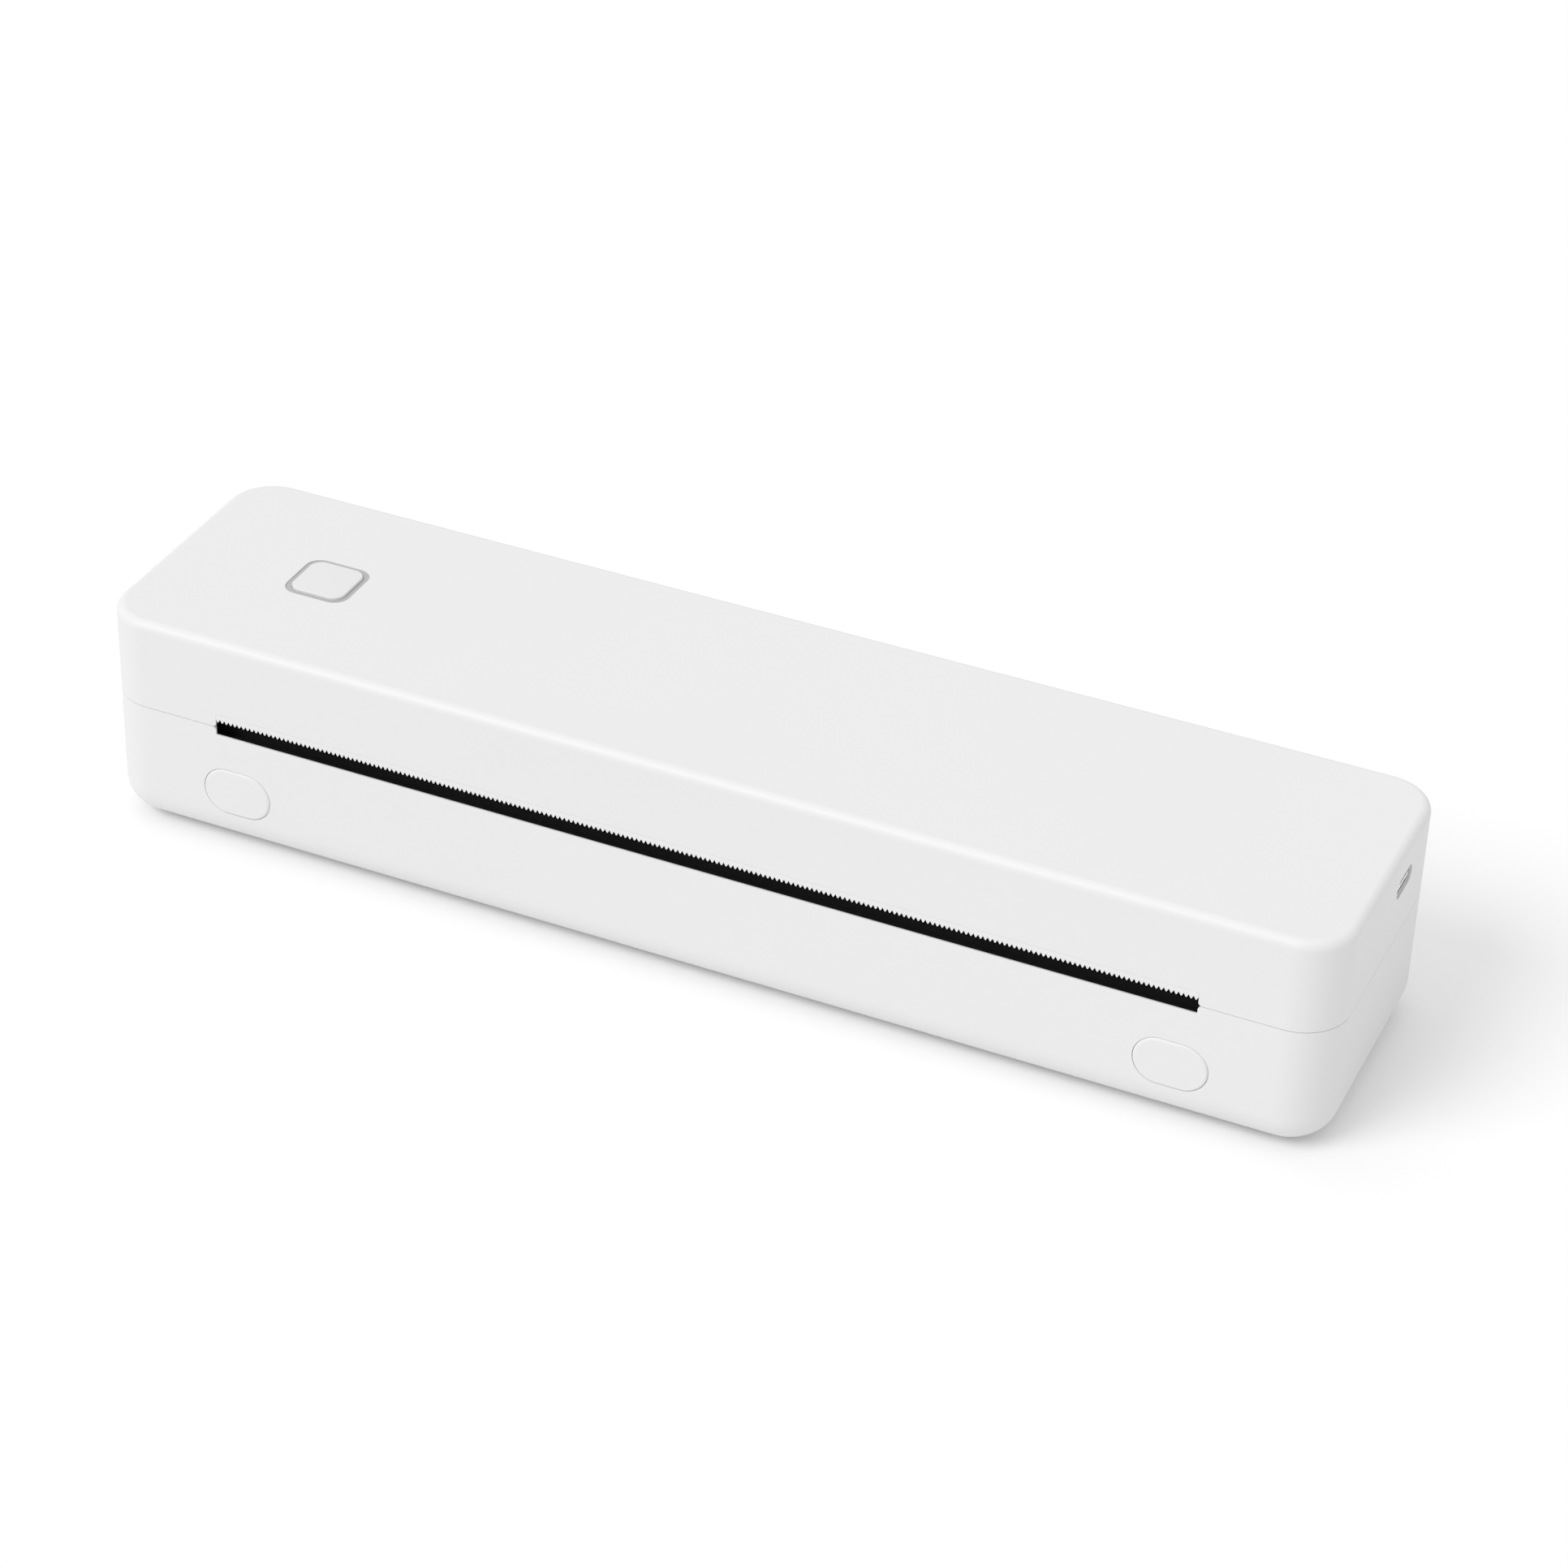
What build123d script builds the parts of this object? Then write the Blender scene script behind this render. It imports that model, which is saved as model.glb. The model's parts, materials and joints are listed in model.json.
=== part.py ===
from build123d import *
from math import acos, cos, pi, radians, sin, sqrt, tan
import os

# A4 portable thermal printer: a white housing of two halves, hinged along the rear and
# held shut by two push latches. The base holds the roll bin and the feed roller, the cover
# holds the print head, the drive, the board and the battery.
# Millimetres. +X is to the right seen from the front, the front faces -Y, +Z is up.
# The origin is in the middle of the surface that the feet stand on.

# --- housing -----------------------------------------------------------------------------
# its length follows from the paper and the drive, its depth from the roller and the bin
corner_radius = 10.2
top_round = 2.0
bottom_round = 7.6
wall = 2.2
foot_height = 0.8
seam_gap = 0.3
cover_rise = 20.5        # the cover above the seam
fit_gap = 0.3            # between faces of separate pieces that never rub
slide_gap = 0.15         # between faces that slide on each other
shaft_gap = 0.05         # radial, shafts turning in bores
press_gap = 0.02         # radial, pins and shanks held tight

# --- paper slot and tear strip -----------------------------------------------------------
paper_half = 105.0
slot_margin = 2.0        # past the paper's edge
lip_drop = 1.3           # from the seam down to the lip
root_rise = 1.6          # from the seam up to the roots of the teeth
lip_edge = 0.4
lip_bevel = 2.6
slot_corner = 0.7
slot_flare = 1.4         # how far the slot's ends widen behind their thin front edge
tooth_depth = 0.65
tooth_pitch = 1.0
strip_height = 1.5
strip_thick = 1.2
blade_thick = 0.4        # the strip where it is toothed
blade_rise = 0.2         # from the roots up to the slope behind the blade

# --- roller and gear train ---------------------------------------------------------------
platen_inset = 12.25     # from the front of the housing
platen_drop = 5.7        # below the seam
platen_radius = 5.5
rubber_margin = 3.0
shaft_radius = 2.5
bush_radius = 4.0
bush_flange_radius = 5.0
bush_flange = 0.8
gear_module = 0.5
pressure_angle = 20.0
addendum = 0.8           # shortened teeth, in modules
dedendum = 1.2
backlash = 0.12
platen_teeth = 28
idler_small_teeth = 16
idler_large_teeth = 40
pinion_teeth = 14
idler_lean = 27.0        # degrees back from vertical, roller to reduction gear
motor_lean = 73.0        # the same, reduction gear to motor
gear_width = 2.0
gear_gap = 0.4
plate_thick = 1.0
post_radius = 1.5
motor_radius = 10.0
motor_length = 11.8
motor_gap = 0.7          # to the frame over the print head
gear_room = 2.0          # from the outer gears to the end wall
motor_shaft_radius = 1.0
motor_shaft_depth = 6.0

# --- roll bin and guides -----------------------------------------------------------------
bin_margin = 3.3
platen_to_bin = 27.5
bin_inset = 23.75        # from the rear of the housing
bin_rise = 7.1           # from the bin's axis up to the seam
bin_radius = 16.0
tray_wall = 1.2
gutter_gap = 0.7
tray_drop = 1.0          # from the seam down to the tray's edge
tray_gap = 0.1           # over the racks of the guides
tray_screw_out = 5.5     # past the tray's ends
ceiling_rise = 7.0
rack_module = 0.8
rack_pinion_teeth = 14
rack_thick = 1.8
rack_back = 2.2
rack_spare = 6.0
guide_width = 1.6
guide_play = 0.3
guide_travel = 66.5
guide_clear = 3.5        # under the ceiling
guide_gap = 0.4
neck_width = 2.0

# --- hinge -------------------------------------------------------------------------------
barrel_radius = 3.0
barrel_gap = 0.35
knuckle_inset = 32.0     # from the end of the housing
knuckle_width = 6.0
hinge_pin_radius = 1.2
hinge_pin_reach = 5.0    # past each side of a knuckle

# --- latches -----------------------------------------------------------------------------
button_inset = 31.3      # from each end of the housing
button_height = 14.1
button_length = 15.2
button_width = 10.5
button_proud = 0.25
button_gap = 0.2
flange_margin = 1.0
flange_thick = 1.2
stem_height = 11.5
stem_radius = 2.0
stem_reach = 11.1
spring_radius = 3.2
spring_wire = 0.8
arm_width = 5.0
arm_thick = 2.0
arm_inset = 5.35         # from the front of the housing
nose_drop = 2.5          # below the seam
nose_thick = 1.6
nose_reach = 1.4
catch_thick = 1.3
catch_ledge = 1.2
catch_play = 0.2

# --- print head --------------------------------------------------------------------------
head_lead = 7.5          # in front of the roller's axis
head_depth = 16.0
head_board = 1.0
heater_rise = 0.4
heater_width = 3.0
sink_thick = 3.0
pivot_back = 11.0        # behind the roller's axis
pivot_rise = 6.1         # above the roller's top
pivot_radius = 1.5
lug_radius = 2.6
lug_inset = 13.0
lug_width = 5.0
head_spring_radius = 3.0
head_spring_length = 4.6
head_spring_spots = (35.0, 85.0)
frame_lead = 9.1
frame_gap = 0.8          # to the liner of the bin
frame_over = 2.0         # past the ends of the tray
frame_thick = 1.0
frame_boss_inset = 7.5
frame_boss_back = 6.5
cheek_rise = 1.1         # above the seam

# --- key, board, battery -----------------------------------------------------------------
key_inset = 36.0         # from the left end to the middle of the key
key_width = 12.0
key_corner = 4.0
key_proud = 0.35
key_travel = 0.6
key_post = 10.8          # from the key's middle to the posts of its board
key_board_end = 2.5      # past the posts
ring_width = 1.0
ring_sink = 0.25
board_thick = 1.2
board_length = 91.2
board_depth = 18.5
board_inset = 10.0       # from the front edge of the board to the middle of the port
board_end_gap = 0.6
port_width = 8.94
port_high = 3.26
port_length = 7.4
port_inset = 0.4
port_margin = 0.4
standoff = 1.3
cell_length = 48.0
cell_depth = 24.0
cell_high = 7.0
cell_gap = 2.0
cell_back = 6.2          # behind the front of the liner
screw_radius = 1.1
screw_head_radius = 2.2
screw_head = 1.3
screw_length = 6.0
boss_radius = 2.75
foot_radius = 5.0
foot_thick = 1.6
foot_inset = (24.0, 14.75)
liner_boss_inset = (10.0, 10.75)

# --- places worked out from the sizes above ----------------------------------------------
depth = platen_inset + platen_to_bin + bin_inset
front = -depth / 2
rear = depth / 2
inner_front = front + wall
inner_rear = rear - wall
floor_top = foot_height + wall
platen_y = front + platen_inset
bin_y = platen_y + platen_to_bin
rack_bottom = floor_top + fit_gap
bin_z = rack_bottom + rack_thick + tray_gap + tray_wall + bin_radius
seam_height = bin_z + bin_rise
height = seam_height + cover_rise
inner_top = height - wall
base_top = seam_height - seam_gap / 2
cover_bottom = seam_height + seam_gap / 2
hinge_y = rear - barrel_radius
hinge_z = seam_height
platen_z = seam_height - platen_drop
platen_top = platen_z + platen_radius
lip_height = seam_height - lip_drop
tooth_root_height = seam_height + root_rise
tray_top = seam_height - tray_drop
ceiling_height = seam_height + ceiling_rise
liner_top = ceiling_height + tray_wall
guide_top = ceiling_height - guide_clear

slot_half = paper_half + slot_margin
rubber_half = paper_half + rubber_margin
bin_half = paper_half + bin_margin
guide_paper_half = paper_half + guide_play
tray_end = bin_half + tray_wall
tray_rear = bin_y + bin_radius + tray_wall
liner_front = bin_y - bin_radius + 3.5 - tray_wall
support_in = tray_end + fit_gap
support_width = 2.5
support_out = support_in + support_width
arm_in = support_out + bush_flange + fit_gap
frame_half = tray_end + frame_over
sink_half = slot_half

motor_x = -(frame_half + motor_gap + motor_length)
plate_x = motor_x - plate_thick
inner_plane = plate_x - gear_gap - gear_width      # outer faces of the two planes of gears
outer_plane = inner_plane - gear_gap - gear_width
inner_end = gear_room - outer_plane
end = inner_end + wall
length = 2 * end

idler_reach = gear_module * (platen_teeth + idler_small_teeth) / 2
motor_reach = gear_module * (idler_large_teeth + pinion_teeth) / 2
idler_y = platen_y + idler_reach * sin(radians(idler_lean))
idler_z = platen_z + idler_reach * cos(radians(idler_lean))
motor_y = idler_y + motor_reach * sin(radians(motor_lean))
motor_z = idler_z + motor_reach * cos(radians(motor_lean))

button_x = end - button_inset
flange_y = inner_front + fit_gap             # front face of the latch flange
flange_back = flange_y + flange_thick
spring_seat_y = flange_back + 7.0
arm_front = front + arm_inset
catch_y = flange_y                           # front face of the catch leg
nose_height = seam_height - nose_drop
knuckle_in = end - knuckle_inset
foot_x = end - foot_inset[0]
foot_y = depth / 2 - foot_inset[1]

head_front = platen_y - head_lead
pivot_y = platen_y + pivot_back
pivot_z = platen_top + pivot_rise
lug_in = sink_half - lug_inset
sink_bottom = platen_top + fit_gap + heater_rise + head_board
sink_top = sink_bottom + sink_thick
frame_under = sink_top + head_spring_length
frame_height = frame_under + frame_thick
frame_front = platen_y - frame_lead
frame_rear = liner_front - frame_gap
cheek_bottom = seam_height + cheek_rise

key_x = -(end - key_inset)
ring_half = key_width / 2 + slide_gap
board_bottom = liner_top + standoff
board_top = board_bottom + board_thick
port_y = bin_y
port_z = board_top + port_high / 2
board_left = inner_end - board_end_gap - board_length
board_front = port_y - board_inset
rack_pitch_radius = rack_module * rack_pinion_teeth / 2


# --- shared shapes -----------------------------------------------------------------------
def hull(bottom, top, inset, low_round=0.0, high_round=0.0):
    # a block with the housing's plan, drawn in by inset, its lower and upper edges rounded
    with BuildPart(mode=Mode.PRIVATE) as block:
        with BuildSketch(Plane.XY.offset(bottom)):
            RectangleRounded(length - 2 * inset, depth - 2 * inset, corner_radius - inset)
        extrude(amount=top - bottom)
        if low_round:
            fillet(block.faces().sort_by(Axis.Z)[0].edges(), low_round)
        if high_round:
            fillet(block.faces().sort_by(Axis.Z)[-1].edges(), high_round)
    return block.part


def slab(x_range, y_range, z_range, mode=Mode.ADD):
    # a block between two values on each axis
    spans = [abs(b - a) for a, b in (x_range, y_range, z_range)]
    middle = [(a + b) / 2 for a, b in (x_range, y_range, z_range)]
    with Locations(tuple(middle)):
        Box(*spans, mode=mode)


def rod_x(x_range, y, z, radius, mode=Mode.ADD):
    with Locations(((x_range[0] + x_range[1]) / 2, y, z)):
        Cylinder(radius, abs(x_range[1] - x_range[0]), rotation=(0, 90, 0), mode=mode)


def rod_y(x, y_range, z, radius, mode=Mode.ADD):
    with Locations((x, (y_range[0] + y_range[1]) / 2, z)):
        Cylinder(radius, abs(y_range[1] - y_range[0]), rotation=(90, 0, 0), mode=mode)


def rod_z(x, y, z_range, radius, mode=Mode.ADD):
    with Locations((x, y, (z_range[0] + z_range[1]) / 2)):
        Cylinder(radius, abs(z_range[1] - z_range[0]), mode=mode)


def screw_up(x, y, z):
    # pan head screw under a face at z, its shank pointing up
    rod_z(x, y, (z - screw_head, z), screw_head_radius)
    rod_z(x, y, (z, z + screw_length), screw_radius)


def screw_down(x, y, z):
    rod_z(x, y, (z, z + screw_head), screw_head_radius)
    rod_z(x, y, (z - screw_length, z), screw_radius)


def gear_points(teeth, module, turn, y, z):
    # outline of a spur gear round y, z with one tooth centred at the angle turn, in degrees
    pitch_radius = teeth * module / 2
    base_radius = pitch_radius * cos(radians(pressure_angle))
    tip_radius = pitch_radius + addendum * module
    root_radius = pitch_radius - dedendum * module
    flank_start = max(base_radius, root_radius)
    half_at_pitch = pi / (2 * teeth) - backlash / (4 * pitch_radius)

    def roll(angle):
        return tan(angle) - angle

    def half_angle(radius):
        reach = acos(min(1.0, base_radius / radius))
        return half_at_pitch + roll(radians(pressure_angle)) - roll(reach)

    rising = [(r, half_angle(r)) for r in (flank_start, pitch_radius, tip_radius)]
    if root_radius < base_radius:
        rising.insert(0, (root_radius, half_angle(base_radius)))
    points = []
    for tooth in range(teeth):
        centre = radians(turn) + 2 * pi * tooth / teeth
        sides = [(r, centre - a) for r, a in rising] + [(r, centre + a) for r, a in reversed(rising)]
        points += [(y + r * cos(a), z + r * sin(a)) for r, a in sides]
    return points


def gear_disc(x_range, points):
    with BuildSketch(Plane.YZ.offset(min(x_range))) as outline:
        with BuildLine():
            Polyline(*points, close=True)
        make_face()
    extrude(outline.sketch, amount=abs(x_range[1] - x_range[0]))


def rack_points(start, stop, back_y, pitch_y, phase):
    # straight rack from x=start to x=stop, teeth pointing from back_y to pitch_y and past it;
    # a tooth is centred at x=phase
    side = 1 if pitch_y > back_y else -1
    pitch = pi * rack_module
    tip_y = pitch_y + side * addendum * rack_module
    root_y = pitch_y - side * dedendum * rack_module
    slope = tan(radians(pressure_angle))
    half = pitch / 4 - backlash / 4
    tip_half = half - slope * addendum * rack_module
    root_half = half + slope * dedendum * rack_module
    first = int((start - phase) // pitch) + 1
    centres = []
    place = phase + first * pitch
    while place < stop:
        if place - root_half > start and place + root_half < stop:
            centres.append(place)
        place += pitch
    points = [(start, back_y), (start, root_y)]
    for c in centres:
        points += [(c - root_half, root_y), (c - tip_half, tip_y)]
        points += [(c + tip_half, tip_y), (c + root_half, root_y)]
    return points + [(stop, root_y), (stop, back_y)]


def flare(bottom, top):
    # cut both ends of the paper slot wider behind their front edge
    for side in (-1, 1):
        with BuildSketch(Plane.XY.offset(bottom)) as outline:
            with BuildLine():
                Polyline(
                    (side * (slot_half - 1), front + lip_edge),
                    (side * slot_half, front + lip_edge),
                    (side * (slot_half + slot_flare), inner_front),
                    (side * (slot_half + slot_flare), inner_front + 0.5),
                    (side * (slot_half - 1), inner_front + 0.5),
                    close=True,
                )
            make_face()
        extrude(outline.sketch, amount=top - bottom, mode=Mode.SUBTRACT)


def lead(points, radius, bends):
    # a round cable: straight runs joined by tangent arcs
    with BuildPart(mode=Mode.PRIVATE) as cable:
        with BuildLine() as path:
            FilletPolyline(*points, radius=bends)
        with BuildSketch(Plane(path.line @ 0, z_dir=path.line % 0)):
            Circle(radius)
        sweep(path=path.line)
    return cable.part


def save(part, name):
    part.label = name
    export_step(part, f"parts/{name}.step")


os.makedirs("parts", exist_ok=True)

# --- base shell --------------------------------------------------------------------------
base_outside = hull(foot_height, base_top, 0, bottom_round)
base_inside = hull(floor_top, base_top + 1, wall, bottom_round - wall)
lip_outside = hull(seam_height - 2.5, base_top, wall - 0.1)
lip_upper = hull(seam_height - 2.5, seam_height + 1.3, wall + fit_gap)
lip_inside = hull(seam_height - 3, seam_height + 2, wall + fit_gap + 0.8)
lip_start = arm_in + arm_width + 1.0

with BuildPart() as seam_lip:
    # tongue that stands up inside the cover at both ends and keeps light out of the seam
    add(lip_outside)
    add(lip_upper)
    add(lip_inside, mode=Mode.SUBTRACT)
    slab((-lip_start, lip_start), (front, rear), (0, height), mode=Mode.SUBTRACT)
    slab((-end, end), (hinge_y - 2 * barrel_radius, rear), (0, height), mode=Mode.SUBTRACT)

with BuildPart() as base_shell:
    add(base_outside)
    add(base_inside, mode=Mode.SUBTRACT)
    add(seam_lip.part)
    # slot lip, bevelled inwards so that the paper leaves over a thin edge
    slab((-slot_half, slot_half), (front - 1, 0), (lip_height, height), mode=Mode.SUBTRACT)
    with BuildSketch(Plane.YZ.offset(-slot_half - slot_flare)):
        with BuildLine():
            Polyline(
                (front + lip_edge, lip_height),
                (inner_front, lip_height - lip_bevel),
                (inner_front + 1, lip_height - lip_bevel),
                (inner_front + 1, lip_height),
                close=True,
            )
        make_face()
    extrude(amount=2 * (slot_half + slot_flare), mode=Mode.SUBTRACT)
    slot_ends = (
        base_shell.edges()
        .filter_by(Axis.Y)
        .filter_by(lambda e: abs(abs(e.center().X) - slot_half) < 0.01)
        .filter_by(lambda e: abs(e.center().Z - base_top) < 0.01 and e.center().Y < inner_front)
    )
    fillet(slot_ends, slot_corner)
    flare(lip_height, height)
    # room for the hinge barrel, and the rim behind it cut down
    rod_x((-end, end), hinge_y, hinge_z, barrel_radius + barrel_gap, mode=Mode.SUBTRACT)
    slab(
        (-end, end),
        (hinge_y, rear + 1),
        (hinge_z - barrel_radius - barrel_gap, height),
        mode=Mode.SUBTRACT,
    )
    for side in (-1, 1):
        knuckle_x = (side * knuckle_in, side * (knuckle_in + knuckle_width))
        rod_x(knuckle_x, hinge_y, hinge_z, barrel_radius)
        slab(knuckle_x, (hinge_y - barrel_radius, inner_rear), (hinge_z - 9.0, hinge_z))
        rod_x(knuckle_x, hinge_y, hinge_z, hinge_pin_radius + press_gap, mode=Mode.SUBTRACT)
        # cradle of the roller
        support_x = (side * support_in, side * support_out)
        slab(support_x, (platen_y - 5.7, platen_y + 5.7), (floor_top - 1, platen_z + 2.5))
        rod_x(support_x, platen_y, platen_z, bush_radius + press_gap, mode=Mode.SUBTRACT)
        slab(
            support_x,
            (platen_y - bush_radius + 0.5, platen_y + bush_radius - 0.5),
            (platen_z, height),
            mode=Mode.SUBTRACT,
        )
        # latch: opening for the button, seat of its spring
        with BuildSketch(Plane.XZ.offset(-inner_front - 1)):
            with Locations((side * button_x, button_height)):
                SlotOverall(button_length + 2 * button_gap, button_width + 2 * button_gap)
        extrude(amount=wall + 2, mode=Mode.SUBTRACT)
        slab(
            (side * (button_x - 6.5), side * (button_x + 6.0)),
            (spring_seat_y, spring_seat_y + 1.6),
            (floor_top - 1, stem_height + 4.0),
        )
        rod_y(side * button_x, (spring_seat_y - 1, spring_seat_y + 3), stem_height,
              stem_radius + slide_gap, mode=Mode.SUBTRACT)
        # screw bosses of the tray
        rod_z(side * (tray_end + tray_screw_out), bin_y, (floor_top - 1, 12.0), boss_radius)
        rod_z(side * (tray_end + tray_screw_out), bin_y, (floor_top + 1, 12.0), screw_radius + press_gap,
              mode=Mode.SUBTRACT)
        # recesses of the feet
        for y in (-foot_y, foot_y):
            rod_z(side * foot_x, y, (0, foot_thick), foot_radius + press_gap, mode=Mode.SUBTRACT)
    # post of the guide pinion
    rod_z(0, bin_y, (floor_top - 1, rack_bottom), 3.0)
    rod_z(0, bin_y, (floor_top, rack_bottom + rack_thick), post_radius)
save(base_shell.part, "base_shell")

with BuildPart() as feet:
    for x in (-foot_x, foot_x):
        for y in (-foot_y, foot_y):
            rod_z(x, y, (0, foot_thick), foot_radius)
    chamfer(feet.faces().filter_by(Axis.Z).group_by(Axis.Z)[0].edges(), 0.4)
save(feet.part, "feet")

with BuildPart() as hinge_pins:
    for side in (-1, 1):
        reach = (side * (knuckle_in - hinge_pin_reach), side * (knuckle_in + knuckle_width + hinge_pin_reach))
        rod_x(reach, hinge_y, hinge_z, hinge_pin_radius)
save(hinge_pins.part, "hinge_pins")

# --- paper tray --------------------------------------------------------------------------
gutter_radius = platen_radius + gutter_gap
neck_y = rack_pitch_radius + dedendum * rack_module + rack_back / 2
neck_start = guide_paper_half + guide_width


def well(radius, y, z, top):
    # section of a round-bottomed well about y, z, open at the height top
    with BuildSketch(mode=Mode.PRIVATE) as section:
        with BuildLine():
            Line((y + radius, z), (y + radius, top))
            Line((y + radius, top), (y - radius, top))
            Line((y - radius, top), (y - radius, z))
            ThreePointArc((y - radius, z), (y, z - radius), (y + radius, z))
        make_face()
    return section.sketch


bin_skin = well(bin_radius + tray_wall, bin_y, bin_z, tray_top)
bin_space = well(bin_radius, bin_y, bin_z, tray_top + 1)
gutter_skin = well(gutter_radius + tray_wall, platen_y, platen_z, tray_top)
gutter_space = well(gutter_radius, platen_y, platen_z, tray_top + 1)
with BuildPart() as paper_tray:
    with BuildSketch(Plane.YZ.offset(-tray_end)):
        add(bin_skin)
        add(gutter_skin)
    extrude(amount=2 * tray_end)
    with BuildSketch(Plane.YZ.offset(-bin_half)):
        add(bin_space)
        add(gutter_space)
    extrude(amount=2 * bin_half, mode=Mode.SUBTRACT)
    # the front edge is low enough for the paper, and the ends let the roller's shaft through
    slab((-tray_end, tray_end), (front, platen_y - 2), (lip_height - 1.2, height), mode=Mode.SUBTRACT)
    slab((-tray_end, tray_end), (platen_y - 3.2, platen_y + 3.2), (platen_z - 3.2, height),
         mode=Mode.SUBTRACT)
    # apron that closes the gap to the front wall under the slot
    slab((-bin_half, bin_half), (inner_front + fit_gap, platen_y - gutter_radius - 0.2),
         (lip_height - lip_bevel - tray_wall - 0.2, lip_height - lip_bevel - 0.2))
    # ledge that carries the paper from the bin to the roller
    ledge_z = tray_top - tray_wall
    ledge_half = sqrt(gutter_radius**2 - (ledge_z - platen_z) ** 2)
    slab((-bin_half, bin_half), (platen_y + ledge_half, bin_y - bin_radius), (ledge_z, tray_top))
    for side in (-1, 1):
        # tabs and slots
        slab((side * bin_half, side * (tray_end + tray_screw_out + 3.0)), (bin_y - 5, bin_y + 5),
             (12.0, 12.0 + tray_wall))
        rod_z(side * (tray_end + tray_screw_out), bin_y, (11, 14), screw_radius + fit_gap, mode=Mode.SUBTRACT)
        slab(
            (side * (neck_start + fit_gap), side * (neck_start - guide_width - guide_travel - fit_gap)),
            (bin_y + side * (neck_y - neck_width / 2 - 0.2), bin_y + side * (neck_y + neck_width / 2 + 0.2)),
            (floor_top, bin_z - 10),
            mode=Mode.SUBTRACT,
        )
save(paper_tray.part, "paper_tray")

with BuildPart() as tray_screws:
    for side in (-1, 1):
        screw_down(side * (tray_end + tray_screw_out), bin_y, 12.0 + tray_wall)
save(tray_screws.part, "tray_screws")

# --- paper guides: two plates on racks that share one pinion ------------------------------
guide_well = well(bin_radius - guide_gap, bin_y, bin_z, tray_top)
for side, name in ((-1, "paper_guide_left"), (1, "paper_guide_right")):
    pitch_y = bin_y + side * rack_pitch_radius
    back_y = pitch_y + side * (dedendum * rack_module + rack_back)
    outside = side * neck_start
    with BuildPart() as guide:
        with BuildSketch(Plane.YZ.offset(min(outside, side * guide_paper_half))):
            add(guide_well)
            # upper part, inside the walls of the cover's liner
            with BuildLine():
                Polyline(
                    (bin_y - bin_radius + guide_gap, tray_top),
                    (liner_front + tray_wall + 2 * guide_gap, tray_top + 1.0),
                    (liner_front + tray_wall + 4 * guide_gap, guide_top),
                    (bin_y + bin_radius - 6 * guide_gap, guide_top),
                    (bin_y + bin_radius - 2 * guide_gap, tray_top + 1.0),
                    (bin_y + bin_radius - guide_gap, tray_top),
                    close=True,
                )
            make_face()
            with Locations((bin_y, bin_z)):
                Circle(bin_radius - 6.5, mode=Mode.SUBTRACT)
        extrude(amount=guide_width)
        slab(
            (outside, side * guide_paper_half),
            (bin_y + side * (neck_y - neck_width / 2), bin_y + side * (neck_y + neck_width / 2)),
            (rack_bottom, bin_z - 12),
        )
        with BuildSketch(Plane.XY.offset(rack_bottom)):
            with BuildLine():
                Polyline(
                    *rack_points(min(outside, -side * rack_spare), max(outside, -side * rack_spare),
                                 back_y, pitch_y, 0.0),
                    close=True,
                )
            make_face()
        extrude(amount=rack_thick)
    save(guide.part, name)

with BuildPart() as guide_pinion:
    with BuildSketch(Plane.XY.offset(rack_bottom)):
        with BuildLine():
            # a gap of the pinion faces each rack's middle tooth
            Polyline(*gear_points(rack_pinion_teeth, rack_module, 90 + 180 / rack_pinion_teeth, 0, bin_y),
                     close=True)
        make_face()
        with Locations((0, bin_y)):
            Circle(post_radius + shaft_gap, mode=Mode.SUBTRACT)
    extrude(amount=rack_thick)
save(guide_pinion.part, "guide_pinion")

# --- feed roller -------------------------------------------------------------------------
with BuildPart() as platen_bushes:
    for side in (-1, 1):
        rod_x((side * support_in, side * support_out), platen_y, platen_z, bush_radius)
        rod_x((side * support_out, side * (support_out + bush_flange)), platen_y, platen_z,
              bush_flange_radius)
        rod_x((side * (support_in - 1), side * (support_out + 2)), platen_y, platen_z,
              shaft_radius + shaft_gap, mode=Mode.SUBTRACT)
save(platen_bushes.part, "platen_bushes")

gear_x = (inner_plane + gear_width, inner_plane)
gear_bore = 2.0
with BuildPart() as platen_shaft:
    rod_x((gear_x[0] + 1.0, support_out + bush_flange + 0.6), platen_y, platen_z, shaft_radius)
    chamfer(platen_shaft.edges().filter_by(GeomType.CIRCLE), 0.3)
    # the gear's seat, with its flat
    rod_x((gear_x[1] + 0.1, gear_x[0] + 1.0), platen_y, platen_z, gear_bore)
    slab((gear_x[1], gear_x[0]), (platen_y - 3, platen_y + 3), (platen_z + 1.5, platen_z + 4),
         mode=Mode.SUBTRACT)
save(platen_shaft.part, "platen_shaft")

with BuildPart() as platen_rubber:
    rod_x((-rubber_half, rubber_half), platen_y, platen_z, platen_radius)
    chamfer(platen_rubber.edges().filter_by(GeomType.CIRCLE), 0.4)
    rod_x((-rubber_half, rubber_half), platen_y, platen_z, shaft_radius, mode=Mode.SUBTRACT)
save(platen_rubber.part, "platen_rubber")

to_idler = 90 - idler_lean
to_motor = 90 - motor_lean
with BuildPart() as platen_gear:
    gear_disc(gear_x, gear_points(platen_teeth, gear_module, to_idler, platen_y, platen_z))
    rod_x(gear_x, platen_y, platen_z, gear_bore + press_gap, mode=Mode.SUBTRACT)
    slab(gear_x, (platen_y - 1.4, platen_y + 1.4), (platen_z + 1.5 + press_gap, platen_z + 2.2))
save(platen_gear.part, "platen_gear")

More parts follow.
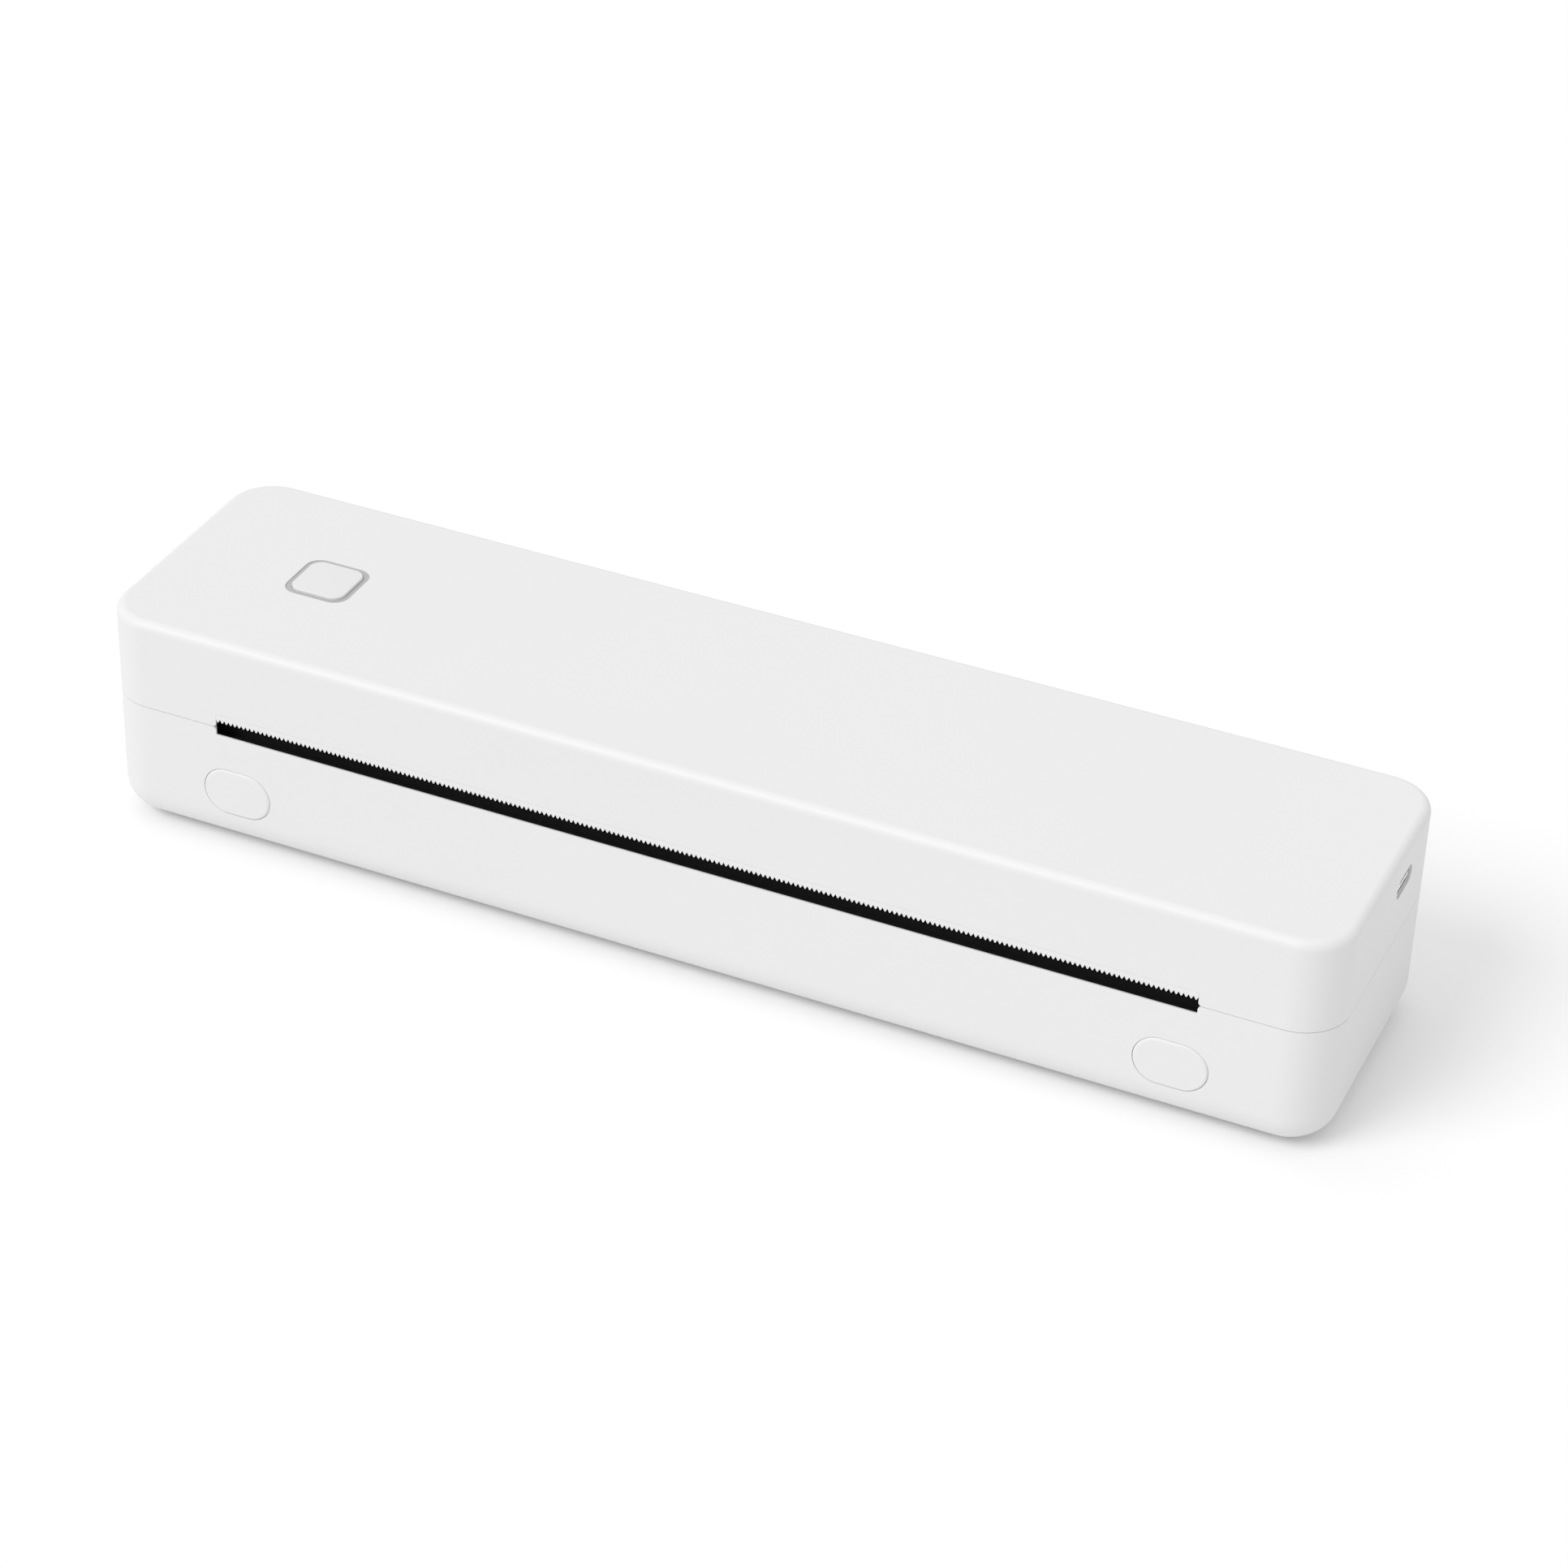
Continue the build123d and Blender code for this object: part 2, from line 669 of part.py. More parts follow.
# --- reduction gear and motor ------------------------------------------------------------
idler_bore = post_radius + shaft_gap
with BuildPart() as reduction_gear:
    gear_disc(gear_x, gear_points(idler_small_teeth, gear_module,
                                  to_idler + 180 + 180 / idler_small_teeth, idler_y, idler_z))
    rod_x((inner_plane, outer_plane + gear_width), idler_y, idler_z, 3.0)
    gear_disc((outer_plane, outer_plane + gear_width),
              gear_points(idler_large_teeth, gear_module, to_motor, idler_y, idler_z))
    rod_x((outer_plane, gear_x[0]), idler_y, idler_z, idler_bore, mode=Mode.SUBTRACT)
    # dished web of the large gear
    with BuildSketch(Plane.YZ.offset(outer_plane)):
        with Locations((idler_y, idler_z)):
            Circle(8.4)
            Circle(4.2, mode=Mode.SUBTRACT)
    extrude(amount=0.7, mode=Mode.SUBTRACT)
save(reduction_gear.part, "reduction_gear")

rear_screw = (motor_y + 13.0, motor_z - 3.4)
front_screw = (idler_y - 7.4, idler_z + 11.2)
with BuildPart() as gear_plate:
    with BuildSketch(Plane.YZ.offset(plate_x)):
        with Locations((idler_y, idler_z)):
            Circle(4.0)
        with Locations((motor_y, motor_z)):
            Circle(motor_radius - 0.3)
        with Locations(rear_screw, front_screw):
            Circle(boss_radius)
        make_hull()
        with Locations((idler_y, idler_z)):
            Circle(post_radius + press_gap, mode=Mode.SUBTRACT)
        with Locations((motor_y, motor_z)):
            Circle(motor_shaft_radius + 0.5, mode=Mode.SUBTRACT)
        with Locations(rear_screw, front_screw):
            Circle(screw_radius + fit_gap, mode=Mode.SUBTRACT)
    extrude(amount=plate_thick)
save(gear_plate.part, "gear_plate")

with BuildPart() as gear_post:
    # headed pin, grooved near its end for the retaining ring
    rod_x((outer_plane - 0.8, motor_x), idler_y, idler_z, post_radius)
    rod_x((motor_x, motor_x + 0.8), idler_y, idler_z, 2.4)
save(gear_post.part, "gear_post")

with BuildPart() as gear_clip:
    rod_x((outer_plane - 0.5, outer_plane - 0.1), idler_y, idler_z, 2.8)
    rod_x((outer_plane - 1, outer_plane), idler_y, idler_z, post_radius + press_gap, mode=Mode.SUBTRACT)
save(gear_clip.part, "gear_clip")

with BuildPart() as plate_screws:
    for y, z in (rear_screw, front_screw):
        rod_x((motor_x, motor_x + screw_head), y, z, screw_head_radius)
        rod_x((motor_x - plate_thick - 4.0, motor_x), y, z, screw_radius)
save(plate_screws.part, "plate_screws")

with BuildPart() as motor:
    rod_x((motor_x, motor_x + motor_length), motor_y, motor_z, motor_radius)
    chamfer(motor.edges().filter_by(GeomType.CIRCLE).sort_by(Axis.X)[-1], 0.6)
    # block where the leads leave
    slab((motor_x + 5.0, motor_x + motor_length), (motor_y - 11.6, motor_y - 5.0),
         (motor_z - 3.0, motor_z + 3.0))
    rod_x((motor_x, motor_x + motor_shaft_depth + 0.5), motor_y, motor_z,
          motor_shaft_radius + shaft_gap, mode=Mode.SUBTRACT)
save(motor.part, "motor")

with BuildPart() as motor_shaft:
    rod_x((outer_plane, motor_x + motor_shaft_depth), motor_y, motor_z, motor_shaft_radius)
save(motor_shaft.part, "motor_shaft")

with BuildPart() as motor_pinion:
    gear_disc((outer_plane, outer_plane + gear_width),
              gear_points(pinion_teeth, gear_module, to_motor + 180 + 180 / pinion_teeth, motor_y, motor_z))
    rod_x((outer_plane, outer_plane + gear_width), motor_y, motor_z,
          motor_shaft_radius, mode=Mode.SUBTRACT)
save(motor_pinion.part, "motor_pinion")

# --- latches -----------------------------------------------------------------------------
for side, name in ((-1, "left"), (1, "right")):
    arm_x = (side * arm_in, side * (arm_in + arm_width))
    with BuildPart() as latch:
        with BuildSketch(Plane.XZ.offset(-flange_back)):
            with Locations((side * button_x, button_height)):
                SlotOverall(button_length, button_width)
        extrude(amount=flange_back - front + button_proud)
        fillet(latch.faces().sort_by(Axis.Y)[0].edges(), 0.6)
        with BuildSketch(Plane.XZ.offset(-flange_back)):
            with Locations((side * button_x, button_height)):
                SlotOverall(button_length + 2 * flange_margin, button_width + 2 * flange_margin)
        extrude(amount=flange_thick)
        # stem that runs in the spring's seat
        rod_y(side * button_x, (flange_back, flange_back + stem_reach), stem_height, stem_radius)
        # bridge to the arm, the arm, and the nose that holds the cover's catch
        slab((side * button_x, arm_x[1]), (flange_y, flange_back), (stem_height - 2.5, stem_height + 4.5))
        slab(arm_x, (flange_y, arm_front + arm_thick), (stem_height - 2.5, stem_height + 4.5))
        slab(arm_x, (arm_front, arm_front + arm_thick), (stem_height - 2.5, nose_height + nose_thick))
        with BuildSketch(Plane.YZ.offset(min(arm_x))):
            with BuildLine():
                Polyline(
                    (arm_front + 0.5, nose_height),
                    (arm_front - nose_reach, nose_height),
                    (arm_front - nose_reach, nose_height + 0.4),
                    (arm_front - 0.2, nose_height + nose_thick),
                    (arm_front + 0.5, nose_height + nose_thick),
                    close=True,
                )
            make_face()
        extrude(amount=arm_width)
    save(latch.part, f"latch_button_{name}")
    with BuildPart() as spring:
        rod_y(side * button_x, (flange_back, spring_seat_y), stem_height, spring_radius)
        rod_y(side * button_x, (flange_back, spring_seat_y), stem_height, spring_radius - spring_wire,
              mode=Mode.SUBTRACT)
    save(spring.part, f"latch_spring_{name}")

# --- cover shell -------------------------------------------------------------------------
cover_outside = hull(cover_bottom, height, 0, 0, top_round)
cover_inside = hull(cover_bottom - 1, inner_top, wall, 0, 1.0)
barrel_space = hull(hinge_z - 2 * barrel_radius, hinge_z + 2 * barrel_radius, 0)
boss_out = frame_half - frame_boss_inset
boss_mid = sum(head_spring_spots) / 2
frame_bosses = [(x, platen_y + frame_boss_back) for x in (-boss_out, -boss_mid, boss_mid, boss_out)]
liner_boss_x = end - liner_boss_inset[0]
liner_boss_y = rear - liner_boss_inset[1]
liner_bosses = [
    (liner_boss_x, front + liner_boss_inset[1] + 3.0),
    (liner_boss_x, liner_boss_y),
    (4.0 - liner_boss_x, liner_boss_y),
]
liner_flange_z = seam_height + 1.5
board_screw_spots = [
    (board_left + 6.0, board_front + 15.0),
    (board_left + 60.0, board_front + 15.0),
    (inner_end - 11.0, board_front + 15.6),
]
cable_x = board_left + 20.0
# middle and size of each block on the board
board_pieces = [
    (board_left + 26.0, board_front + 10.5, 10.0, 10.0, 1.1),
    (board_left + 44.0, board_front + 10.0, 6.0, 6.0, 1.0),
    (board_left + 68.0, board_front + 6.0, 6.0, 6.0, 3.0),
    (cable_x, board_front + 2.0, 26.0, 3.6, 2.0),
    (board_left + 36.0, board_front + 16.0, 8.0, 4.0, 3.5),
]
plug_x = board_left + 2.4    # connectors of the three leads, in a row at the board's left edge
plug_length = 3.6
plug_high = 3.2
plug_spots = {"motor": board_front + 2.2, "button": board_front + 6.2, "battery": board_front + 10.2}
board_pieces += [(plug_x, y, plug_length, 3.4, plug_high) for y in plug_spots.values()]
key_board_right = key_x + key_post + key_board_end
cell_middle = (key_board_right + board_left) / 2
cell_shift = (cell_length + cell_gap) / 2
cell_spots = (cell_middle - cell_shift, cell_middle + cell_shift)
cell_front = liner_front + cell_back

with BuildPart() as barrel:
    # rolled lower edge of the cover's rear wall
    rod_x((-end, end), hinge_y, hinge_z, barrel_radius)
    add(barrel_space, mode=Mode.INTERSECT)

with BuildPart() as cover_shell:
    add(cover_outside)
    add(cover_inside, mode=Mode.SUBTRACT)
    add(barrel.part)
    # paper slot, with the recess of the tear strip in its upper edge
    slab((-slot_half, slot_half), (front - 1, inner_front + 1), (cover_bottom - 1, tooth_root_height),
         mode=Mode.SUBTRACT)
    slab((-slot_half, slot_half), (front - 1, front + strip_thick),
         (cover_bottom, tooth_root_height + strip_height), mode=Mode.SUBTRACT)
    slot_ends = (
        cover_shell.edges()
        .filter_by(Axis.Y)
        .filter_by(lambda e: abs(abs(e.center().X) - slot_half) < 0.01)
        .filter_by(lambda e: abs(e.center().Z - cover_bottom) < 0.01 and e.center().Y < inner_front)
    )
    fillet(slot_ends, slot_corner)
    flare(cover_bottom - 1, tooth_root_height)
    for side in (-1, 1):
        knuckle_x = (side * (knuckle_in - fit_gap), side * (knuckle_in + knuckle_width + fit_gap))
        rod_x(knuckle_x, hinge_y, hinge_z, barrel_radius + barrel_gap, mode=Mode.SUBTRACT)
        pin_x = (side * (knuckle_in - hinge_pin_reach - fit_gap),
                 side * (knuckle_in + knuckle_width + hinge_pin_reach + fit_gap))
        rod_x(pin_x, hinge_y, hinge_z, hinge_pin_radius + shaft_gap, mode=Mode.SUBTRACT)
        # catch leg of the latch, rooted in the front wall
        leg_x = (side * (arm_in + fit_gap), side * (arm_in + arm_width - fit_gap))
        slab(leg_x, (inner_front - 0.2, catch_y + catch_thick), (cover_bottom + 0.6, cover_bottom + 8))
        with BuildSketch(Plane.YZ.offset(min(leg_x))):
            with BuildLine():
                Polyline(
                    (catch_y, cover_bottom + 1),
                    (catch_y, nose_height - catch_play - 1.6),
                    (catch_y + 0.8, nose_height - catch_play - 1.9),
                    (catch_y + catch_thick + catch_ledge, nose_height - catch_play - 0.5),
                    (catch_y + catch_thick + catch_ledge, nose_height - catch_play),
                    (catch_y + catch_thick, nose_height - catch_play),
                    (catch_y + catch_thick, cover_bottom + 1),
                    close=True,
                )
            make_face()
        extrude(amount=abs(leg_x[1] - leg_x[0]))
    # bosses of the frame and of the liner, and of the gear plate on the left end wall
    for x, y in frame_bosses:
        rod_z(x, y, (frame_height, inner_top + 1), boss_radius)
        rod_z(x, y, (frame_height, frame_height + 6), screw_radius + press_gap, mode=Mode.SUBTRACT)
    for x, y in liner_bosses:
        rod_z(x, y, (liner_flange_z + tray_wall, inner_top + 1), boss_radius)
        rod_z(x, y, (liner_flange_z, liner_flange_z + 8), screw_radius + press_gap, mode=Mode.SUBTRACT)
    for y, z in (rear_screw, front_screw):
        rod_x((-inner_end - 1, plate_x), y, z, boss_radius)
        rod_x((plate_x - 5, plate_x), y, z, screw_radius + press_gap, mode=Mode.SUBTRACT)
    # posts that the key's board hangs from
    for x in (key_x - key_post, key_x + key_post):
        rod_z(x, 0, (inner_top - 3.6, inner_top + 1), 2.0)
        rod_z(x, 0, (inner_top - 4, inner_top), 0.8 + press_gap, mode=Mode.SUBTRACT)
    # opening of the key with its ring, and of the port
    with BuildSketch(Plane.XY.offset(inner_top - 1)):
        with Locations((key_x, 0)):
            RectangleRounded(2 * (ring_half + ring_width), 2 * (ring_half + ring_width), key_corner + 1)
    extrude(amount=wall + 2, mode=Mode.SUBTRACT)
    with BuildSketch(Plane.YZ.offset(inner_end - 1)):
        with Locations((port_y, port_z)):
            SlotOverall(port_width + 2 * port_margin, port_high + 2 * port_margin)
    extrude(amount=wall + 2, mode=Mode.SUBTRACT)
save(cover_shell.part, "cover_shell")

# --- tear strip --------------------------------------------------------------------------
teeth = int(2 * slot_half / tooth_pitch)
pitch = 2 * slot_half / teeth
edge_points = [(-slot_half, tooth_root_height)]
for tooth in range(teeth):
    start = -slot_half + tooth * pitch
    edge_points += [(start + pitch / 2, tooth_root_height - tooth_depth), (start + pitch, tooth_root_height)]
with BuildPart() as tear_bar:
    with BuildSketch(Plane.XZ.offset(-front - strip_thick)):
        with BuildLine():
            Polyline(
                *edge_points,
                (slot_half, tooth_root_height + strip_height),
                (-slot_half, tooth_root_height + strip_height),
                close=True,
            )
        make_face()
    extrude(amount=strip_thick)
    # sloped away behind, so that the teeth stand on a thin blade
    with BuildSketch(Plane.YZ.offset(-slot_half)):
        with BuildLine():
            Polyline(
                (front + blade_thick, tooth_root_height - tooth_depth - 1),
                (front + blade_thick, tooth_root_height + blade_rise),
                (front + strip_thick, tooth_root_height + blade_rise + strip_thick - blade_thick),
                (front + strip_thick + 1, tooth_root_height - tooth_depth - 1),
                close=True,
            )
        make_face()
    extrude(amount=2 * slot_half, mode=Mode.SUBTRACT)
save(tear_bar.part, "tear_bar")

# --- key ---------------------------------------------------------------------------------
with BuildPart() as button_ring:
    with BuildSketch(Plane.XY.offset(inner_top)):
        with Locations((key_x, 0)):
            RectangleRounded(2 * (ring_half + ring_width), 2 * (ring_half + ring_width), key_corner + 1)
            RectangleRounded(2 * ring_half, 2 * ring_half, key_corner + slide_gap, mode=Mode.SUBTRACT)
    extrude(amount=wall - ring_sink)
    # foot under the top face
    with BuildSketch(Plane.XY.offset(inner_top - 0.8)):
        with Locations((key_x, 0)):
            RectangleRounded(2 * (ring_half + ring_width + 0.6), 2 * (ring_half + ring_width + 0.6),
                             key_corner + 1.6)
            RectangleRounded(2 * ring_half, 2 * ring_half, key_corner + slide_gap, mode=Mode.SUBTRACT)
    extrude(amount=0.8)
save(button_ring.part, "button_ring")

key_bottom = inner_top - 1.0
flange_high = 0.8
with BuildPart() as power_button:
    with BuildSketch(Plane.XY.offset(key_bottom - flange_high)):
        with Locations((key_x, 0)):
            RectangleRounded(key_width, key_width, key_corner)
    extrude(amount=height + key_proud - key_bottom + flange_high)
    fillet(power_button.faces().sort_by(Axis.Z)[-1].edges(), 0.3)
    with BuildSketch(Plane.XY.offset(key_bottom - flange_high)):
        with Locations((key_x, 0)):
            RectangleRounded(key_width + 1.6, key_width + 1.6, key_corner + 0.8)
    extrude(amount=flange_high)
save(power_button.part, "power_button")

switch_top = key_bottom - flange_high - key_travel - 0.1
button_board_z = inner_top - 3.6 - board_thick
with BuildPart() as button_board:
    with BuildSketch(Plane.XY.offset(button_board_z)):
        with Locations((key_x, 0)):
            RectangleRounded(2 * (key_post + key_board_end), 9.0, 1.0)
        with Locations((key_x - key_post, 0), (key_x + key_post, 0)):
            Circle(0.8 + press_gap, mode=Mode.SUBTRACT)
    extrude(amount=board_thick)
save(button_board.part, "button_board")

# --- folded frame over the print head ----------------------------------------------------
cheek_x = (frame_half - frame_thick, frame_half)
with BuildPart() as mech_frame:
    slab((-frame_half, frame_half), (frame_front, frame_rear), (frame_under, frame_height))
    # stiffening folds along the front, down, and along the rear, up
    slab((-sink_half, sink_half), (frame_front, frame_front + frame_thick), (frame_under - 2.0, frame_height))
    slab((-frame_half, frame_half), (frame_rear - frame_thick, frame_rear), (frame_under, frame_height + 1.6))
    for side in (-1, 1):
        slab((side * cheek_x[0], side * cheek_x[1]), (frame_front, frame_rear), (cheek_bottom, frame_height))
        rod_x((side * (cheek_x[0] - 1), side * (cheek_x[1] + 1)), pivot_y, pivot_z,
              pivot_radius + press_gap, mode=Mode.SUBTRACT)
    for x, y in frame_bosses:
        rod_z(x, y, (frame_under - 1, frame_height + 1), screw_radius + fit_gap, mode=Mode.SUBTRACT)
    # locating pips of the head springs
    for x in [side * spot for side in (-1, 1) for spot in head_spring_spots]:
        rod_z(x, platen_y, (frame_under - 1.0, frame_under), 1.5)
save(mech_frame.part, "mech_frame")

with BuildPart() as frame_screws:
    for x, y in frame_bosses:
        screw_up(x, y, frame_under)
save(frame_screws.part, "frame_screws")

with BuildPart() as head_pivot_pin:
    rod_x((-(frame_half + 0.6), frame_half + 0.6), pivot_y, pivot_z, pivot_radius)
save(head_pivot_pin.part, "head_pivot_pin")

# --- print head on its heat sink ---------------------------------------------------------
head_bottom = sink_bottom - head_board
head_rear = head_front + head_depth
with BuildPart() as print_head:
    slab((-rubber_half, rubber_half), (head_front, head_rear), (head_bottom, sink_bottom))
    # glazed ridge that carries the heater line, right over the roller
    with BuildSketch(Plane.YZ.offset(-paper_half)):
        with BuildLine():
            Line((platen_y + heater_width / 2, head_bottom), (platen_y - heater_width / 2, head_bottom))
            ThreePointArc(
                (platen_y - heater_width / 2, head_bottom),
                (platen_y, head_bottom - heater_rise),
                (platen_y + heater_width / 2, head_bottom),
            )
        make_face()
    extrude(amount=2 * paper_half)
save(print_head.part, "print_head")

with BuildPart() as heat_sink:
    slab((-sink_half, sink_half), (head_front, head_rear), (sink_bottom, sink_top))
    # lengthwise grooves
    for y in (head_front + 3.0, head_front + 11.5):
        slab((-sink_half, sink_half), (y - 0.6, y + 0.6), (sink_top - 1.0, sink_top), mode=Mode.SUBTRACT)
    for side in (-1, 1):
        lug_x = (side * lug_in, side * (lug_in + lug_width))
        rod_x(lug_x, pivot_y, pivot_z, lug_radius)
        slab(lug_x, (head_rear - 4.0, pivot_y), (sink_bottom + 1.0, pivot_z))
        rod_x(lug_x, pivot_y, pivot_z, pivot_radius + shaft_gap, mode=Mode.SUBTRACT)
save(heat_sink.part, "heat_sink")

with BuildPart() as head_springs:
    for x in [side * spot for side in (-1, 1) for spot in head_spring_spots]:
        rod_z(x, platen_y, (sink_top, frame_under), head_spring_radius)
        rod_z(x, platen_y, (sink_top, frame_under), head_spring_radius - 0.7, mode=Mode.SUBTRACT)
save(head_springs.part, "head_springs")

# --- cover liner: ceiling of the bin -----------------------------------------------------
liner_plan = (2 * tray_end, tray_rear - liner_front)
liner_mid = (tray_rear + liner_front) / 2
flange_block = hull(liner_flange_z, liner_flange_z + tray_wall, wall + fit_gap)
with BuildPart() as liner_flange:
    add(flange_block)
    slab((-end, end), (tray_rear, rear), (0, height), mode=Mode.SUBTRACT)
    slab((-end, end), (front, arm_front + 4.4), (0, height), mode=Mode.SUBTRACT)
    slab((-end, frame_half + 0.8), (front, liner_front), (0, height), mode=Mode.SUBTRACT)
    slab((-end, -tray_end), (front, motor_y + 17.0), (0, height), mode=Mode.SUBTRACT)
    slab((-tray_end, tray_end), (front, rear), (0, height), mode=Mode.SUBTRACT)

with BuildPart() as cover_liner:
    with BuildSketch(Plane.XY.offset(cover_bottom + fit_gap)):
        with Locations((0, liner_mid)):
            RectangleRounded(*liner_plan, 2.0)
    extrude(amount=liner_top - cover_bottom - fit_gap)
    fillet(cover_liner.faces().sort_by(Axis.Z)[-1].edges(), 1.5)
    with BuildSketch(Plane.XY.offset(cover_bottom)):
        with Locations((0, liner_mid)):
            RectangleRounded(liner_plan[0] - 2 * tray_wall, liner_plan[1] - 2 * tray_wall, 0.8)
    extrude(amount=ceiling_height - cover_bottom, mode=Mode.SUBTRACT)
    add(liner_flange.part)
    # standoffs of the main board, the last one beside the port
    for x, y in board_screw_spots:
        low = liner_top - tray_wall / 2 if x < tray_end else liner_flange_z
        rod_z(x, y, (low, board_bottom), 2.2)
        rod_z(x, y, (board_bottom - 4.0 if x > tray_end else liner_top, board_bottom), 0.9 + press_gap,
              mode=Mode.SUBTRACT)
    for x, y in liner_bosses:
        rod_z(x, y, (liner_flange_z - 1, liner_flange_z + 3), screw_radius + fit_gap, mode=Mode.SUBTRACT)
save(cover_liner.part, "cover_liner")

with BuildPart() as liner_screws:
    for x, y in liner_bosses:
        screw_up(x, y, liner_flange_z)
save(liner_screws.part, "liner_screws")

# --- electronics -------------------------------------------------------------------------
with BuildPart() as main_board:
    with BuildSketch(Plane.XY.offset(board_bottom)):
        with Locations((board_left + board_length / 2, board_front + board_depth / 2)):
            RectangleRounded(board_length, board_depth, 1.0)
        with Locations(*board_screw_spots):
            Circle(1.2, mode=Mode.SUBTRACT)
    extrude(amount=board_thick)
    # processor, driver, inductor and the connectors of the leads
    for x, y, wide, deep, high in board_pieces:
        slab((x - wide / 2, x + wide / 2), (y - deep / 2, y + deep / 2), (board_top, board_top + high))
save(main_board.part, "main_board")

with BuildPart() as board_screws:
    for x, y in board_screw_spots:
        rod_z(x, y, (board_top, board_top + 1.2), 1.9)
        rod_z(x, y, (liner_top + 0.1, board_top), 0.9)
save(board_screws.part, "board_screws")

with BuildPart() as usb_port:
    with BuildSketch(Plane.YZ.offset(end - port_inset - port_length)):
        with Locations((port_y, port_z)):
            SlotOverall(port_width, port_high)
    extrude(amount=port_length)
    with BuildSketch(Plane.YZ.offset(end - port_inset - port_length + 1.0)):
        with Locations((port_y, port_z)):
            SlotOverall(port_width - 0.6, port_high - 0.6)
            Rectangle(6.7, 0.7, mode=Mode.SUBTRACT)
    extrude(amount=port_length, mode=Mode.SUBTRACT)
save(usb_port.part, "usb_port")

with BuildPart() as battery_cells:
    for x in cell_spots:
        slab((x - cell_length / 2, x + cell_length / 2), (cell_front, cell_front + cell_depth),
             (liner_top, liner_top + cell_high))
    fillet(battery_cells.edges().filter_by(Axis.Y), 1.6)
save(battery_cells.part, "battery_cells")

with BuildPart() as power_switch:
    slab((key_x - 3, key_x + 3), (-3, 3), (button_board_z + board_thick, switch_top - 0.6))
    rod_z(key_x, 0, (switch_top - 0.6, switch_top), 1.6)
save(power_switch.part, "power_switch")

with BuildPart() as button_dome:
    # rubber collar between the switch and the key, which pushes the key back up
    rod_z(key_x, 0, (button_board_z + board_thick, key_bottom - flange_high), 5.4)
    rod_z(key_x, 0, (button_board_z, key_bottom), 4.5, mode=Mode.SUBTRACT)
save(button_dome.part, "button_dome")

with BuildPart() as paper_sensor:
    slab((-20.0, -14.0), (liner_front - 2.4, liner_front), (cover_bottom + 1.0, cover_bottom + 3.6))
save(paper_sensor.part, "paper_sensor")

# --- cables held inside the cover --------------------------------------------------------
cable_half = 11.0
cable_thick = 0.3
cable_rise_y = (frame_rear + liner_front) / 2
with BuildPart() as head_cable:
    # flat cable from the rear edge of the print head up behind the frame to the board
    with BuildSketch(Plane.YZ.offset(cable_x - cable_half)):
        with BuildLine() as route:
            FilletPolyline(
                (head_rear + 0.1, head_bottom + head_board / 2),
                (cable_rise_y, head_bottom + head_board / 2),
                (cable_rise_y, board_top + 1.0),
                (board_front + 0.1, board_top + 1.0),
                radius=1.4,
            )
        trace(route.line, cable_thick)
    extrude(amount=2 * cable_half)
save(head_cable.part, "head_cable")

plug_face = plug_x - plug_length / 2
lead_z = frame_height + 3.6
plug_z = board_top + plug_high - 1.0
lead_radius = 0.8
motor_lead = lead(
    [
        (motor_x + 8.0, motor_y - 10.8, motor_z + 3.0),
        (motor_x + 8.0, motor_y - 10.8, lead_z),
        (motor_x + 13.5, motor_y - 10.8, lead_z),
        (motor_x + 18.0, frame_rear - 2.1, lead_z),
        (plug_face - 13.0, frame_rear - 2.1, lead_z),
        (plug_face - 4.0, plug_spots["motor"], plug_z),
        (plug_face, plug_spots["motor"], plug_z),
    ],
    lead_radius,
    1.6,
)
save(motor_lead, "motor_lead")

button_lead = lead(
    [
        (key_board_right, -2.0, button_board_z + board_thick / 2),
        (key_board_right + 4.0, -2.0, button_board_z + board_thick / 2),
        (key_board_right + 9.5, frame_rear + 0.1, lead_z + 0.4),
        (plug_face - 13.0, frame_rear + 0.1, lead_z + 0.4),
        (plug_face - 4.0, plug_spots["button"], plug_z),
        (plug_face, plug_spots["button"], plug_z),
    ],
    0.5,
    1.6,
)
save(button_lead, "button_lead")

cell_end = max(cell_spots) + cell_length / 2
cell_exit_y = cell_front + cell_depth / 2
cell_exit_z = liner_top + cell_high / 2
run = (plug_face - cell_end) / 4
battery_lead = lead(
    [
        (cell_end, cell_exit_y, cell_exit_z),
        (cell_end + run, cell_exit_y, cell_exit_z),
        (plug_face - run, plug_spots["battery"], plug_z),
        (plug_face, plug_spots["battery"], plug_z),
    ],
    lead_radius,
    run / 2,
)
save(battery_lead, "battery_lead")
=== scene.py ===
# Looks of the portable page printer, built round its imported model.
import json
import math

import bmesh
import bpy
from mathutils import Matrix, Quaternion, Vector

